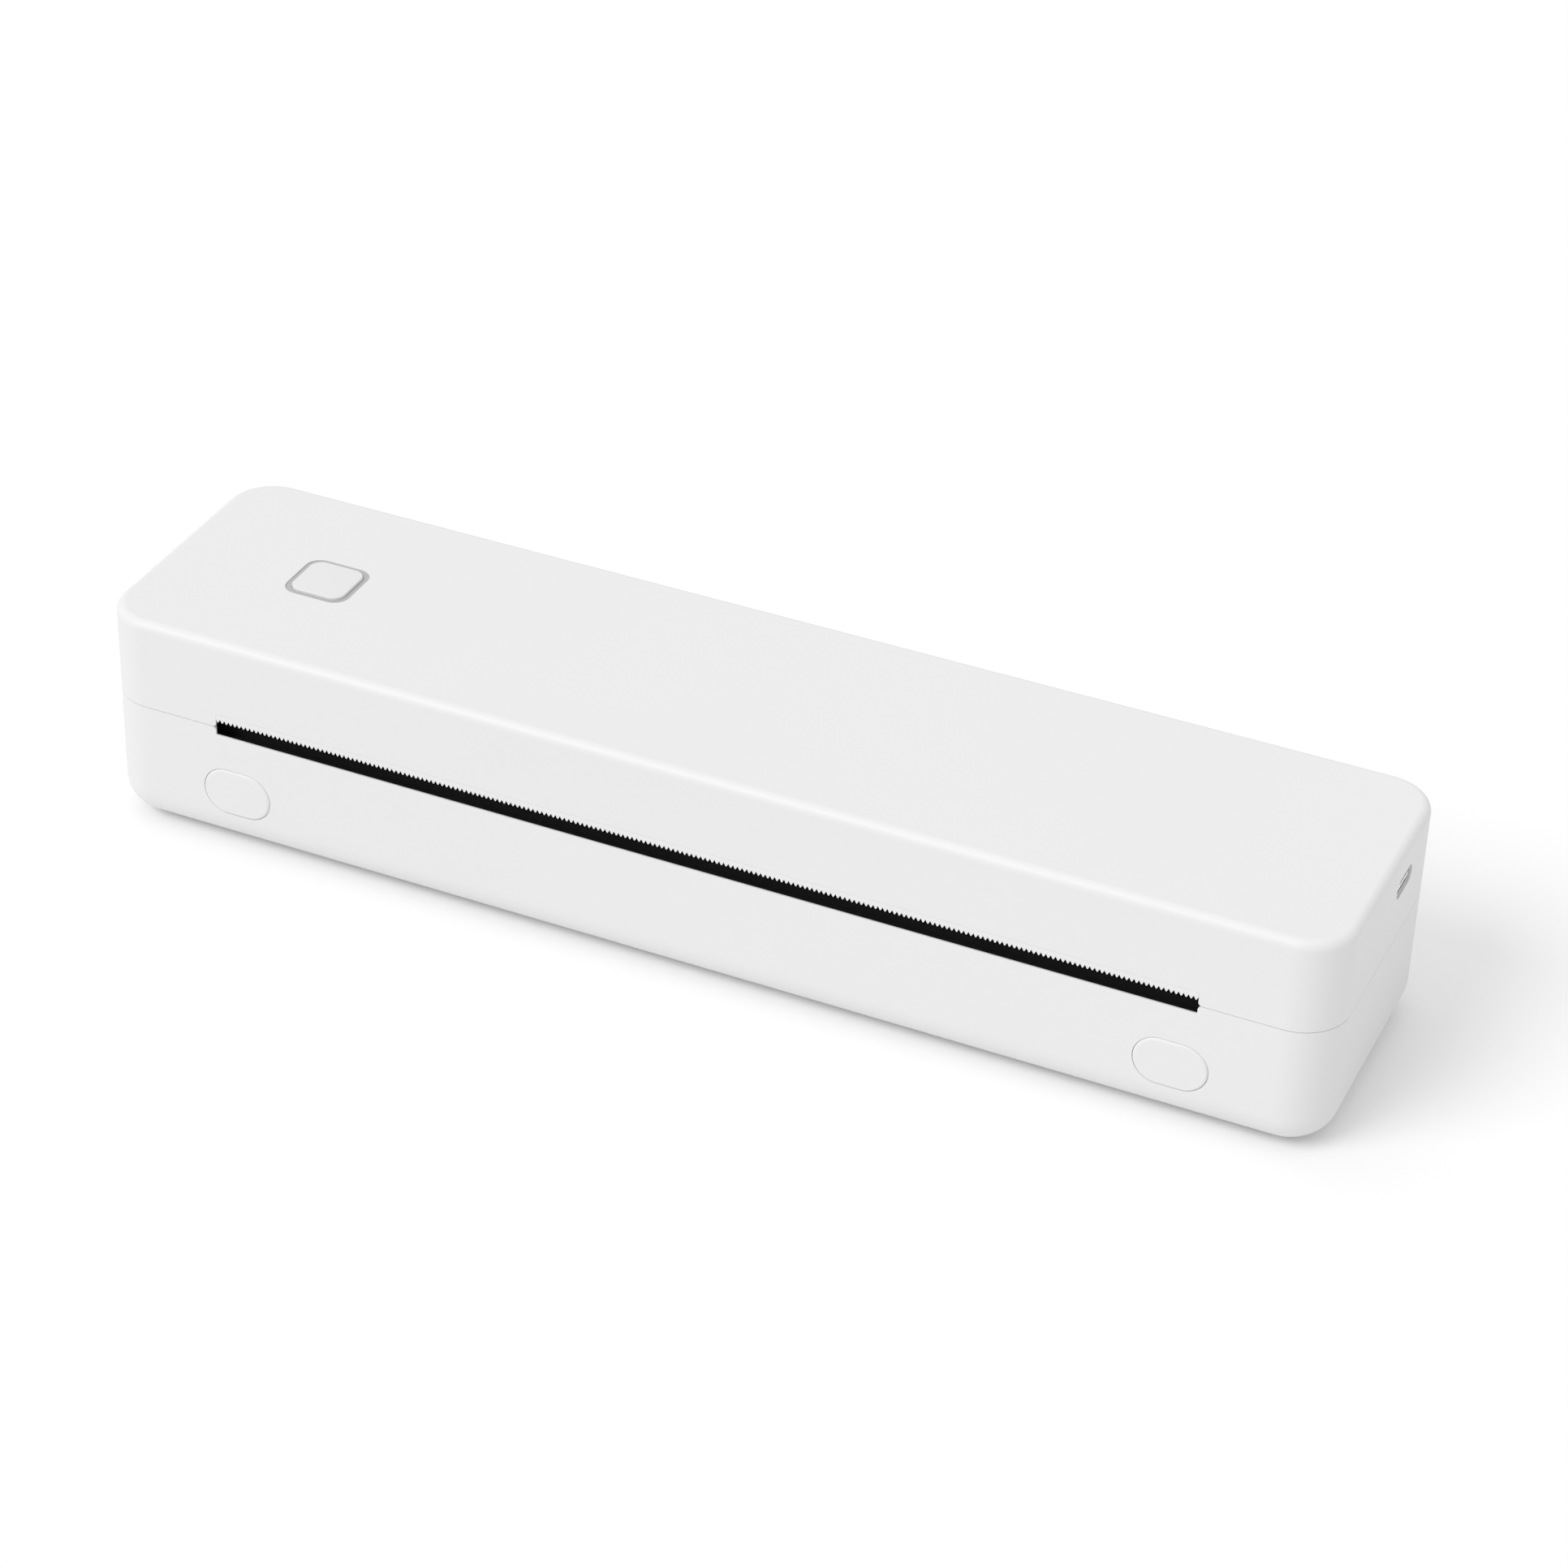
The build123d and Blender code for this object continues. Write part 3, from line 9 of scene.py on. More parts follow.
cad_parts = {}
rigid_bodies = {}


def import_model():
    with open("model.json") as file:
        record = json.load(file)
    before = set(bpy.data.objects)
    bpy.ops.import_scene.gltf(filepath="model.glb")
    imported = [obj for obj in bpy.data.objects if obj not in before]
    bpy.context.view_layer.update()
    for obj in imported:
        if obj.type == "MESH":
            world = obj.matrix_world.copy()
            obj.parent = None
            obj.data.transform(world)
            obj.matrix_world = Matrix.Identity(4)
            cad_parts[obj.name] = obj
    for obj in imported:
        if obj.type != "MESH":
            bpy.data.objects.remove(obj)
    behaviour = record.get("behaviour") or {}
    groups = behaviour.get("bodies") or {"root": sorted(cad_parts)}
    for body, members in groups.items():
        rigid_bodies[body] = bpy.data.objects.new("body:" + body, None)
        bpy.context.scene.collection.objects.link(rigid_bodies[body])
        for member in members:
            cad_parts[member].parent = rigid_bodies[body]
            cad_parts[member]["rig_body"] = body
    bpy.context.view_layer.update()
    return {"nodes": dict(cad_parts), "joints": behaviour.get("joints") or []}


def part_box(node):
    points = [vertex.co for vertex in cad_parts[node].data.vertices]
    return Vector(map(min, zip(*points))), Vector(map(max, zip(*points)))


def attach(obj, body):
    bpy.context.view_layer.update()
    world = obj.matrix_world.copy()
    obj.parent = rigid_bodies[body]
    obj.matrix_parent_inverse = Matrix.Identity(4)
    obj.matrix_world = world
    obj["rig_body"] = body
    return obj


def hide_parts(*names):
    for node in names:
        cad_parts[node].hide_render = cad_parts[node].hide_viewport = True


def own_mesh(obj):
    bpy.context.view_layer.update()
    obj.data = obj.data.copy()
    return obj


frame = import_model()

nodes = frame["nodes"]
joints = {joint["name"]: joint for joint in frame["joints"]}
scene = bpy.context.scene
mm = 0.001
hair = 0.01 * mm      # nearer than this is the same place
print("loaded", len(nodes), "nodes")


# helpers for node trees, of shaders and of geometry
def addNode(tree, kind, settings=None, inputs=None):
    node = tree.nodes.new(kind)
    for name, value in (settings or {}).items():
        setattr(node, name, value)
    for name, value in (inputs or {}).items():
        if isinstance(value, bpy.types.NodeSocket):
            tree.links.new(value, node.inputs[name])
        else:
            node.inputs[name].default_value = value
    return node


def calc(tree, operation, *values):
    node = addNode(tree, "ShaderNodeMath", {"operation": operation})
    for socket, value in zip(node.inputs, values):
        if isinstance(value, bpy.types.NodeSocket):
            tree.links.new(value, socket)
        else:
            socket.default_value = value
    return node.outputs[0]


def splitAxes(tree, vector):
    return addNode(tree, "ShaderNodeSeparateXYZ", None, {"Vector": vector}).outputs


def joinAxes(tree, x=0.0, y=0.0, z=0.0):
    return addNode(tree, "ShaderNodeCombineXYZ", None, {"X": x, "Y": y, "Z": z}).outputs["Vector"]


# helpers for materials
def startMaterial(name, roughness, metallic=0.0):
    material = bpy.data.materials.new(name)
    material.use_nodes = True
    tree = material.node_tree
    tree.nodes.clear()
    output = addNode(tree, "ShaderNodeOutputMaterial")
    shader = addNode(tree, "ShaderNodeBsdfPrincipled", None, {"Roughness": roughness, "Metallic": metallic})
    tree.links.new(shader.outputs["BSDF"], output.inputs["Surface"])
    return material, tree, shader


def feed(tree, shader, sockets):
    for name, socket in sockets.items():
        tree.links.new(socket, shader.inputs[name])


def objectSpace(tree, stretch=(1, 1, 1), centre=(0, 0, 0)):
    coords = addNode(tree, "ShaderNodeTexCoord")
    shift = [-c * s for c, s in zip(centre, stretch)]
    mapping = addNode(tree, "ShaderNodeMapping", None,
                      {"Vector": coords.outputs["Object"], "Scale": stretch, "Location": shift})
    return mapping.outputs["Vector"]


def noise(tree, space, scale, detail=2.0, rough=0.5):
    texture = addNode(tree, "ShaderNodeTexNoise", None,
                      {"Vector": space, "Scale": scale, "Detail": detail, "Roughness": rough})
    return texture.outputs["Fac"]


def bands(tree, space, pitch):
    # stripes side by side along X; the wave texture's scale is 0.314 over the pitch
    wave = addNode(tree, "ShaderNodeTexWave", {"bands_direction": "X"},
                   {"Vector": space, "Scale": 0.314 / pitch})
    return wave.outputs["Fac"]


def tones(tree, factor, first, last, start=0.3, stop=0.7):
    node = addNode(tree, "ShaderNodeValToRGB", None, {"Fac": factor})
    for spot, place, colour in zip(node.color_ramp.elements, (start, stop), (first, last)):
        spot.position = place
        spot.color = (*colour, 1)
    return node.outputs["Color"]


def spread(tree, factor, low, high, start=0.3, stop=0.7):
    node = addNode(tree, "ShaderNodeMapRange", None,
                   {"Value": factor, "From Min": start, "From Max": stop, "To Min": low, "To Max": high})
    return node.outputs["Result"]


def layOver(tree, under, colour, where):
    # sockets 6 and 7 are the colours of the mix node, and its output 2 is the mixed one
    mix = addNode(tree, "ShaderNodeMix", {"data_type": "RGBA"}, {"Factor": where})
    tree.links.new(under, mix.inputs[6])
    mix.inputs[7].default_value = (*colour, 1)
    return mix.outputs[2]


def bump(tree, shader, height, depth, strength=1.0):
    node = addNode(tree, "ShaderNodeBump", None, {"Height": height, "Strength": strength, "Distance": depth})
    tree.links.new(node.outputs["Normal"], shader.inputs["Normal"])


def shade(colour, share):
    return tuple(c * share for c in colour)


# materials
def mouldedPlastic(name, colour, roughness, grain, depth, drift):
    # plastic from a textured mould: fine grain, slow drift of tone, uneven gloss
    look = {"toneScale": 14.0, "glossier": 0.05, "duller": 0.06}
    material, tree, shader = startMaterial(name, roughness)
    space = objectSpace(tree)
    slow = noise(tree, space, look["toneScale"], detail=3.0)
    fine = noise(tree, space, 1 / grain, rough=0.6)
    feed(tree, shader, {
        "Base Color": tones(tree, slow, shade(colour, 1 - drift), colour),
        "Roughness": spread(tree, fine, roughness - look["glossier"], roughness + look["duller"])})
    bump(tree, shader, fine, depth)
    return material


def sheetMetal(name, colour, roughness, along):
    # rolled or turned metal, brushed along one axis
    look = {"brushed": 0.04, "lineScale": 5000.0, "cloudScale": 90.0, "cloud": 0.88, "depth": 0.004 * mm,
            "glossier": 0.08, "duller": 0.1}
    material, tree, shader = startMaterial(name, roughness, 1.0)
    stretch = [1, 1, 1]
    stretch[along] = look["brushed"]
    lines = noise(tree, objectSpace(tree, stretch), look["lineScale"], detail=3.0, rough=0.7)
    clouds = noise(tree, objectSpace(tree), look["cloudScale"], detail=3.0)
    feed(tree, shader, {
        "Base Color": tones(tree, clouds, shade(colour, look["cloud"]), colour),
        "Roughness": spread(tree, lines, roughness - look["glossier"], roughness + look["duller"])})
    bump(tree, shader, lines, look["depth"], strength=0.5)
    return material


def solderMask():
    # green lacquer over copper tracks, with bare plated pads
    look = {"mask": (0.012, 0.085, 0.045), "paler": 1.25, "track": (0.02, 0.14, 0.07),
            "pad": (0.75, 0.6, 0.3), "trackScale": 260.0, "trackWidth": 0.09, "padScale": 210.0,
            "padSize": 0.13, "depth": 0.02 * mm}
    material, tree, shader = startMaterial("solderMask", 0.35)
    space = objectSpace(tree)
    tracks = addNode(tree, "ShaderNodeTexBrick", {"offset": 0.37, "squash": 0.6},
                     {"Vector": space, "Scale": look["trackScale"], "Mortar Size": look["trackWidth"],
                      "Color1": (*look["mask"], 1), "Color2": (*shade(look["mask"], look["paler"]), 1),
                      "Mortar": (*look["track"], 1)})
    dots = addNode(tree, "ShaderNodeTexVoronoi", None,
                   {"Vector": space, "Scale": look["padScale"], "Randomness": 0.9})
    isPad = calc(tree, "LESS_THAN", dots.outputs["Distance"], look["padSize"])
    feed(tree, shader, {"Base Color": layOver(tree, tracks.outputs["Color"], look["pad"], isPad),
                        "Metallic": isPad})
    bump(tree, shader, tracks.outputs["Fac"], look["depth"], strength=0.6)
    return material


def headGlaze():
    # dark glaze, the heater line over the roller, and the comb of leads that reaches it
    look = {"glaze": (0.05, 0.034, 0.024), "gold": (0.4, 0.27, 0.11), "line": (0.02, 0.018, 0.016),
            "pitch": 0.25 * mm, "bare": 0.3 * mm, "reach": 2.2 * mm, "cloudScale": 700.0,
            "gloss": (0.14, 0.24)}
    low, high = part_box("platen_rubber")
    material, tree, shader = startMaterial("headGlaze", 0.18)
    space = objectSpace(tree, centre=(0, (low.y + high.y) / 2, 0))
    away = calc(tree, "ABSOLUTE", splitAxes(tree, space)["Y"])
    nearLine = calc(tree, "LESS_THAN", away, look["reach"])
    pastLine = calc(tree, "GREATER_THAN", away, look["bare"])
    comb = spread(tree, bands(tree, space, look["pitch"]), 0.0, 1.0, start=0.35, stop=0.65)
    gilt = calc(tree, "MULTIPLY", calc(tree, "MULTIPLY", comb, nearLine), pastLine)
    glaze = tones(tree, pastLine, look["line"], look["glaze"], start=0.0, stop=1.0)
    feed(tree, shader, {
        "Base Color": layOver(tree, glaze, look["gold"], gilt),
        "Roughness": spread(tree, noise(tree, space, look["cloudScale"]), *look["gloss"])})
    return material


def shrinkWrap():
    # blue film round the cells, slightly wrinkled
    look = {"dark": (0.03, 0.1, 0.3), "light": (0.05, 0.16, 0.42), "gloss": (0.22, 0.4),
            "foldScale": 140.0, "drawnOut": (1, 0.4, 1), "depth": 0.08 * mm}
    material, tree, shader = startMaterial("shrinkWrap", 0.3)
    folds = noise(tree, objectSpace(tree, look["drawnOut"]), look["foldScale"], detail=4.0)
    feed(tree, shader, {"Base Color": tones(tree, folds, look["dark"], look["light"]),
                        "Roughness": spread(tree, folds, *look["gloss"])})
    bump(tree, shader, folds, look["depth"], strength=0.6)
    return material


def flatCable():
    # conductors side by side under a pale film
    look = {"film": (0.62, 0.6, 0.52), "copper": (0.5, 0.42, 0.3), "pitch": 1.0 * mm, "depth": 0.03 * mm}
    material, tree, shader = startMaterial("flatCable", 0.32)
    wires = bands(tree, objectSpace(tree), look["pitch"])
    feed(tree, shader, {
        "Base Color": tones(tree, wires, look["film"], look["copper"], start=0.35, stop=0.6)})
    bump(tree, shader, wires, look["depth"], strength=0.6)
    return material


# plastics and rubbers: colour, roughness, size of the grain and its depth, drift of tone
housingWhite = mouldedPlastic("housingWhite", (0.87, 0.87, 0.87), 0.45, 0.45 * mm, 0.003 * mm, 0.012)
keyWhite = mouldedPlastic("keyWhite", (0.84, 0.84, 0.845), 0.38, 0.3 * mm, 0.002 * mm, 0.008)
ringGrey = mouldedPlastic("ringGrey", (0.5, 0.5, 0.505), 0.35, 0.5 * mm, 0.003 * mm, 0.03)
linerBlack = mouldedPlastic("linerBlack", (0.014, 0.014, 0.015), 0.5, 0.35 * mm, 0.012 * mm, 0.2)
guideBlack = mouldedPlastic("guideBlack", (0.02, 0.02, 0.022), 0.42, 0.4 * mm, 0.008 * mm, 0.2)
acetalIvory = mouldedPlastic("acetalIvory", (0.72, 0.7, 0.62), 0.36, 0.6 * mm, 0.004 * mm, 0.06)
rollerRubber = mouldedPlastic("rollerRubber", (0.028, 0.028, 0.03), 0.72, 0.16 * mm, 0.014 * mm, 0.15)
footRubber = mouldedPlastic("footRubber", (0.055, 0.055, 0.058), 0.8, 0.3 * mm, 0.02 * mm, 0.2)
domeRubber = mouldedPlastic("domeRubber", (0.4, 0.4, 0.38), 0.6, 0.4 * mm, 0.008 * mm, 0.05)
switchBlack = mouldedPlastic("switchBlack", (0.03, 0.03, 0.03), 0.4, 0.3 * mm, 0.004 * mm, 0.1)
jacketBlack = mouldedPlastic("jacketBlack", (0.03, 0.03, 0.032), 0.5, 0.5 * mm, 0.006 * mm, 0.1)
jacketRed = mouldedPlastic("jacketRed", (0.35, 0.02, 0.015), 0.45, 0.5 * mm, 0.006 * mm, 0.1)
jacketWhite = mouldedPlastic("jacketWhite", (0.7, 0.7, 0.68), 0.45, 0.5 * mm, 0.006 * mm, 0.05)

# metals: colour, roughness, axis that they are brushed along
frameSteel = sheetMetal("frameSteel", (0.62, 0.63, 0.64), 0.34, 0)
shaftSteel = sheetMetal("shaftSteel", (0.66, 0.66, 0.67), 0.22, 0)
screwZinc = sheetMetal("screwZinc", (0.58, 0.58, 0.59), 0.3, 2)
springSteel = sheetMetal("springSteel", (0.6, 0.6, 0.61), 0.26, 1)
sinkAluminium = sheetMetal("sinkAluminium", (0.78, 0.79, 0.8), 0.38, 0)
motorZinc = sheetMetal("motorZinc", (0.5, 0.5, 0.51), 0.36, 0)
portSteel = sheetMetal("portSteel", (0.9, 0.9, 0.9), 0.42, 0)

finishes = [
    (housingWhite, ["base_shell", "cover_shell", "tear_bar", "latch_button_left", "latch_button_right"]),
    (keyWhite, ["power_button"]),
    (ringGrey, ["button_ring"]),
    (linerBlack, ["paper_tray", "cover_liner", "paper_sensor"]),
    (guideBlack, ["paper_guide_left", "paper_guide_right"]),
    (acetalIvory, ["guide_pinion", "platen_bushes", "platen_gear", "reduction_gear", "motor_pinion"]),
    (rollerRubber, ["platen_rubber"]),
    (footRubber, ["feet"]),
    (domeRubber, ["button_dome"]),
    (switchBlack, ["power_switch"]),
    (jacketBlack, ["motor_lead"]),
    (jacketRed, ["battery_lead"]),
    (jacketWhite, ["button_lead"]),
    (frameSteel, ["mech_frame", "gear_plate"]),
    (shaftSteel, ["hinge_pins", "platen_shaft", "gear_post", "gear_clip", "motor_shaft", "head_pivot_pin"]),
    (screwZinc, ["tray_screws", "plate_screws", "frame_screws", "liner_screws", "board_screws"]),
    (springSteel, ["latch_spring_left", "latch_spring_right", "head_springs"]),
    (sinkAluminium, ["heat_sink"]),
    (motorZinc, ["motor"]),
    (portSteel, ["usb_port"]),
    (solderMask(), ["main_board", "button_board"]),
    (headGlaze(), ["print_head"]),
    (shrinkWrap(), ["battery_cells"]),
    (flatCable(), ["head_cable"]),
]
for material, names in finishes:
    for name in names:
        nodes[name].data.materials.clear()
        nodes[name].data.materials.append(material)
print("materials", len(finishes), "on", sum(len(names) for _, names in finishes), "nodes")


# helpers for pieces that stand in for a node
def mergedCopy(name):
    # the node's shape with its loose triangles joined and its flat faces whole
    weld = 0.002 * mm
    flat = math.radians(0.3)
    shape = bmesh.new()
    shape.from_mesh(nodes[name].data)
    bmesh.ops.remove_doubles(shape, verts=shape.verts, dist=weld)
    bmesh.ops.dissolve_limit(shape, angle_limit=flat, verts=shape.verts, edges=shape.edges)
    return shape


def solidBoxes(name):
    # lowest and highest corner of each separate solid of a node
    shape = mergedCopy(name)
    waiting = set(shape.verts)
    boxes = []
    while waiting:
        front = [waiting.pop()]
        found = []
        while front:
            vert = front.pop()
            found.append(vert.co.copy())
            for edge in vert.link_edges:
                other = edge.other_vert(vert)
                if other in waiting:
                    waiting.remove(other)
                    front.append(other)
        low = Vector([min(c[i] for c in found) for i in range(3)])
        high = Vector([max(c[i] for c in found) for i in range(3)])
        boxes.append((low, high))
    shape.free()
    return sorted(boxes, key=lambda pair: tuple(pair[0]))


def shapeToMesh(shape, label):
    mesh = bpy.data.meshes.new(label)
    shape.to_mesh(mesh)
    shape.free()
    return mesh


def addPiece(label, mesh, name, sharp=35):
    # in place of the node of that name, on its body and with its material
    node = nodes[name]
    if "custom_normal" in mesh.attributes:
        mesh.attributes.remove(mesh.attributes["custom_normal"])
    mesh.polygons.foreach_set("use_smooth", [True] * len(mesh.polygons))
    mesh.set_sharp_from_angle(angle=math.radians(sharp))
    mesh.materials.clear()
    mesh.materials.append(node.data.materials[0])
    piece = bpy.data.objects.new(label, mesh)
    scene.collection.objects.link(piece)
    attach(piece, node["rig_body"])
    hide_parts(name)
    return piece


def roundEdges(piece, width):
    rounding = {"segments": 2, "angle": 35, "weight": 80}
    bevel = piece.modifiers.new("edges", "BEVEL")
    bevel.width = width
    bevel.segments = rounding["segments"]
    bevel.limit_method = "ANGLE"
    bevel.angle_limit = math.radians(rounding["angle"])
    bevel.use_clamp_overlap = False
    bevel.miter_outer = "MITER_ARC"
    normals = piece.modifiers.new("normals", "WEIGHTED_NORMAL")
    normals.keep_sharp = True
    normals.weight = rounding["weight"]


# housing: the two shells meet in a hairline, and the slot's lower lip stands as low as in the photograph
housing = {
    "seam": 0.12 * mm,         # width of the line between the shells
    "reach": 0.17 * mm,        # rims that lie this near to the seam are drawn up to it
    "middle": 0.05 * mm,       # and what lies on the seam itself stays
    "edge": 0.07 * mm,
    "lip": 28.2 * mm,          # height of the lower lip on the node
    "lipReach": 0.7 * mm,      # from the front inwards
    "lipDrop": 0.5 * mm,
}
seamZ = joints["cover_hinge"]["pos_m"][2]

# power key: squarer corners than the node's; (half width, corner radius) before and after
key = {
    "hole": ((7.15 * mm, 5.0 * mm), (7.3 * mm, 3.4 * mm)),
    "inner": ((6.15 * mm, 4.15 * mm), (6.14 * mm, 2.74 * mm)),
    "cap": ((6.0 * mm, 4.0 * mm), (6.1 * mm, 2.7 * mm)),
    "top": 47.7 * mm,          # the hole in the cover is squared above this
    "rim": 0.05 * mm,          # slack in picking the hole's wall
    "ringWall": 4.7 * mm,      # corner reach past which the ring's points are on its outside
    "edge": 0.06 * mm,
}
keyMiddle = sum(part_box("button_ring"), Vector()) / 2


def squareCorners(verts, change):
    (half, radius), (newHalf, newRadius) = change
    straight = half - radius
    for vert in verts:
        for i in (0, 1):
            away = vert.co[i] - keyMiddle[i]
            if abs(away) > straight - hair:
                past = (abs(away) - straight) * newRadius / radius
                vert.co[i] = keyMiddle[i] + math.copysign(newHalf - newRadius + past, away)


def cornerReach(vert, change):
    # distance from the straight-sided cross inside the rounded square
    half, radius = change[0]
    return math.hypot(*(max(abs(vert.co[i] - keyMiddle[i]) - half + radius, 0.0) for i in (0, 1)))


def openKeyHole(shape):
    radius = key["hole"][0][1]
    wall = [vert for vert in shape.verts if vert.co.z > key["top"]
            and abs(cornerReach(vert, key["hole"]) - radius) < key["rim"]]
    squareCorners(wall, key["hole"])


def lowerLip(shape):
    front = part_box("base_shell")[0].y + housing["lipReach"]
    for vert in shape.verts:
        if abs(vert.co.z - housing["lip"]) < hair and vert.co.y < front:
            vert.co.z -= housing["lipDrop"]


def addShell(name, label, change):
    shape = mergedCopy(name)
    change(shape)
    for vert in shape.verts:
        above = vert.co.z - seamZ
        if housing["middle"] < abs(above) < housing["reach"]:
            vert.co.z = seamZ + math.copysign(housing["seam"] / 2, above)
    roundEdges(addPiece(label, shapeToMesh(shape, label), name), housing["edge"])


def addKey():
    ring = mergedCopy("button_ring")
    outside = {vert for vert in ring.verts if cornerReach(vert, key["hole"]) > key["ringWall"]}
    inside = [vert for vert in ring.verts if vert not in outside]
    squareCorners(outside, key["hole"])
    squareCorners(inside, key["inner"])
    roundEdges(addPiece("keyRing", shapeToMesh(ring, "keyRing"), "button_ring"), key["edge"])
    cap = mergedCopy("power_button")
    squareCorners(cap.verts, key["cap"])
    addPiece("keyCap", shapeToMesh(cap, "keyCap"), "power_button")


addShell("base_shell", "baseHousing", lowerLip)
addShell("cover_shell", "coverHousing", openKeyHole)
addKey()
print("housing and key")

# latch buttons: nearly flush, with soft edges and a fine line round them
latch = {
    "grow": 0.13 * mm,         # outwards all round, into the working gap
    "front": 1.5 * mm,         # as far in as the cap reaches
    "edge": 0.12 * mm,
}


def addLatch(side):
    name = "latch_button_" + side
    label = "latchCap" + side.capitalize()
    low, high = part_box(name)
    shape = mergedCopy(name)
    cap = [vert for vert in shape.verts if vert.co.y < low.y + latch["front"]]
    face = [vert.co for vert in cap if vert.co.y < low.y + hair]
    middle = Vector([(min(c[i] for c in face) + max(c[i] for c in face)) / 2 for i in range(3)])
    reach = [max(abs(vert.co[i] - middle[i]) for vert in cap) for i in (0, 2)]
    for vert in cap:
        for i, half in zip((0, 2), reach):
            vert.co[i] = middle[i] + (vert.co[i] - middle[i]) * (half + latch["grow"]) / half
    roundEdges(addPiece(label, shapeToMesh(shape, label), name), latch["edge"])


for side in ("left", "right"):
    addLatch(side)
print("latch buttons")


# helpers for what repeats: a tree that puts one thing at each of its places
def startTree(name, sizes):
    tree = bpy.data.node_groups.new(name, "GeometryNodeTree")
    kinds = {"Places": "Geometry", **sizes, "Turn": "Vector", "Material": "Material"}
    for label, kind in kinds.items():
        tree.interface.new_socket(name=label, in_out="INPUT", socket_type="NodeSocket" + kind)
    tree.interface.new_socket(name="Result", in_out="OUTPUT", socket_type="NodeSocketGeometry")
    return tree, tree.nodes.new("NodeGroupInput").outputs


def endTree(tree, given, thing):
    turn = addNode(tree, "FunctionNodeEulerToRotation", None, {"Euler": given["Turn"]})
    spots = addNode(tree, "GeometryNodeInstanceOnPoints", None,
                    {"Points": given["Places"], "Instance": thing, "Rotation": turn.outputs["Rotation"]})
    real = addNode(tree, "GeometryNodeRealizeInstances", None, {"Geometry": spots.outputs["Instances"]})
    painted = addNode(tree, "GeometryNodeSetMaterial", None,
                      {"Geometry": real.outputs["Geometry"], "Material": given["Material"]})
    addNode(tree, "NodeGroupOutput", None, {"Result": painted.outputs["Geometry"]})
    return tree


def runTree(tree, label, places, values):
    seeds = bpy.data.meshes.new(label)
    seeds.from_pydata([tuple(place) for place in places], [], [])
    holder = bpy.data.objects.new(label, seeds)
    scene.collection.objects.link(holder)
    modifier = holder.modifiers.new("grow", "NODES")
    modifier.node_group = tree
    for item in tree.interface.items_tree:
        if item.in_out == "INPUT" and item.name in values:
            modifier[item.identifier] = values[item.name]
    bpy.context.view_layer.update()
    seen = bpy.context.evaluated_depsgraph_get()
    mesh = bpy.data.meshes.new_from_object(holder.evaluated_get(seen))
    bpy.data.objects.remove(holder)
    return mesh


def position(tree):
    return splitAxes(tree, addNode(tree, "GeometryNodeInputPosition").outputs["Position"])


# tear strip: a row of teeth with rounded tips, under a bar that is sloped behind
tearStrip = {
    "pitch": 1.0 * mm,
    "depth": 0.95 * mm,
    "tipRound": 0.13 * mm,
    "tipSteps": 3,
    "tipLift": 0.2 * mm,       # of the tips over the node's
    "blade": 0.4 * mm,         # thickness of the teeth
    "rise": 0.1 * mm,          # of the blade over the roots
    "weld": 0.0005 * mm,
}


def bladeTree():
    # the thin toothed edge, over one line of points: root, tip, root, tip ...
    tree, given = startTree("toothedBlade", {
        "Points": "Int", "Step": "Float", "Depth": "Float", "Tip Round": "Float", "Rise": "Float",
        "Thickness": "Float"})
    row = addNode(tree, "GeometryNodeMeshLine", None,
                  {"Count": given["Points"], "Offset": joinAxes(tree, x=given["Step"])})
    number = addNode(tree, "GeometryNodeInputIndex").outputs["Index"]
    isTip = calc(tree, "MODULO", number, 2.0)
    drop = calc(tree, "MULTIPLY", isTip, calc(tree, "MULTIPLY", given["Depth"], -1.0))
    zigzag = addNode(tree, "GeometryNodeSetPosition", None,
                     {"Geometry": row.outputs["Mesh"], "Offset": joinAxes(tree, z=drop)})
    line = addNode(tree, "GeometryNodeMeshToCurve", None, {"Mesh": zigzag.outputs["Geometry"]})
    soft = addNode(tree, "GeometryNodeFilletCurve", {"mode": "POLY"},
                   {"Curve": line.outputs["Curve"], "Count": tearStrip["tipSteps"],
                    "Radius": calc(tree, "MULTIPLY", isTip, given["Tip Round"])})
    edge = addNode(tree, "GeometryNodeCurveToMesh", None, {"Curve": soft.outputs["Curve"]})
    sheet = addNode(tree, "GeometryNodeExtrudeMesh", {"mode": "EDGES"},
                    {"Mesh": edge.outputs["Mesh"], "Offset": joinAxes(tree, z=given["Rise"])})
    spot = position(tree)
    even = addNode(tree, "GeometryNodeSetPosition", None,
                   {"Geometry": sheet.outputs["Mesh"], "Selection": sheet.outputs["Top"],
                    "Position": joinAxes(tree, spot["X"], spot["Y"], given["Rise"])})
    thick = addNode(tree, "GeometryNodeExtrudeMesh", {"mode": "FACES"},
                    {"Mesh": even.outputs["Geometry"], "Offset": joinAxes(tree, y=given["Thickness"]),
                     "Individual": False})
    closed = addNode(tree, "GeometryNodeJoinGeometry")
    tree.links.new(thick.outputs["Mesh"], closed.inputs["Geometry"])
    tree.links.new(even.outputs["Geometry"], closed.inputs["Geometry"])
    welded = addNode(tree, "GeometryNodeMergeByDistance", None,
                     {"Geometry": closed.outputs["Geometry"], "Distance": tearStrip["weld"]})
    return endTree(tree, given, welded.outputs["Geometry"])


def addBar(shape, profile, left, right):
    # a bar along X with that (y, z) outline
    ends = [[shape.verts.new((x, y, z)) for y, z in profile] for x in (left, right)]
    shape.faces.new(ends[0])
    shape.faces.new(list(reversed(ends[1])))
    for i in range(len(profile)):
        j = (i + 1) % len(profile)
        shape.faces.new((ends[0][j], ends[0][i], ends[1][i], ends[1][j]))


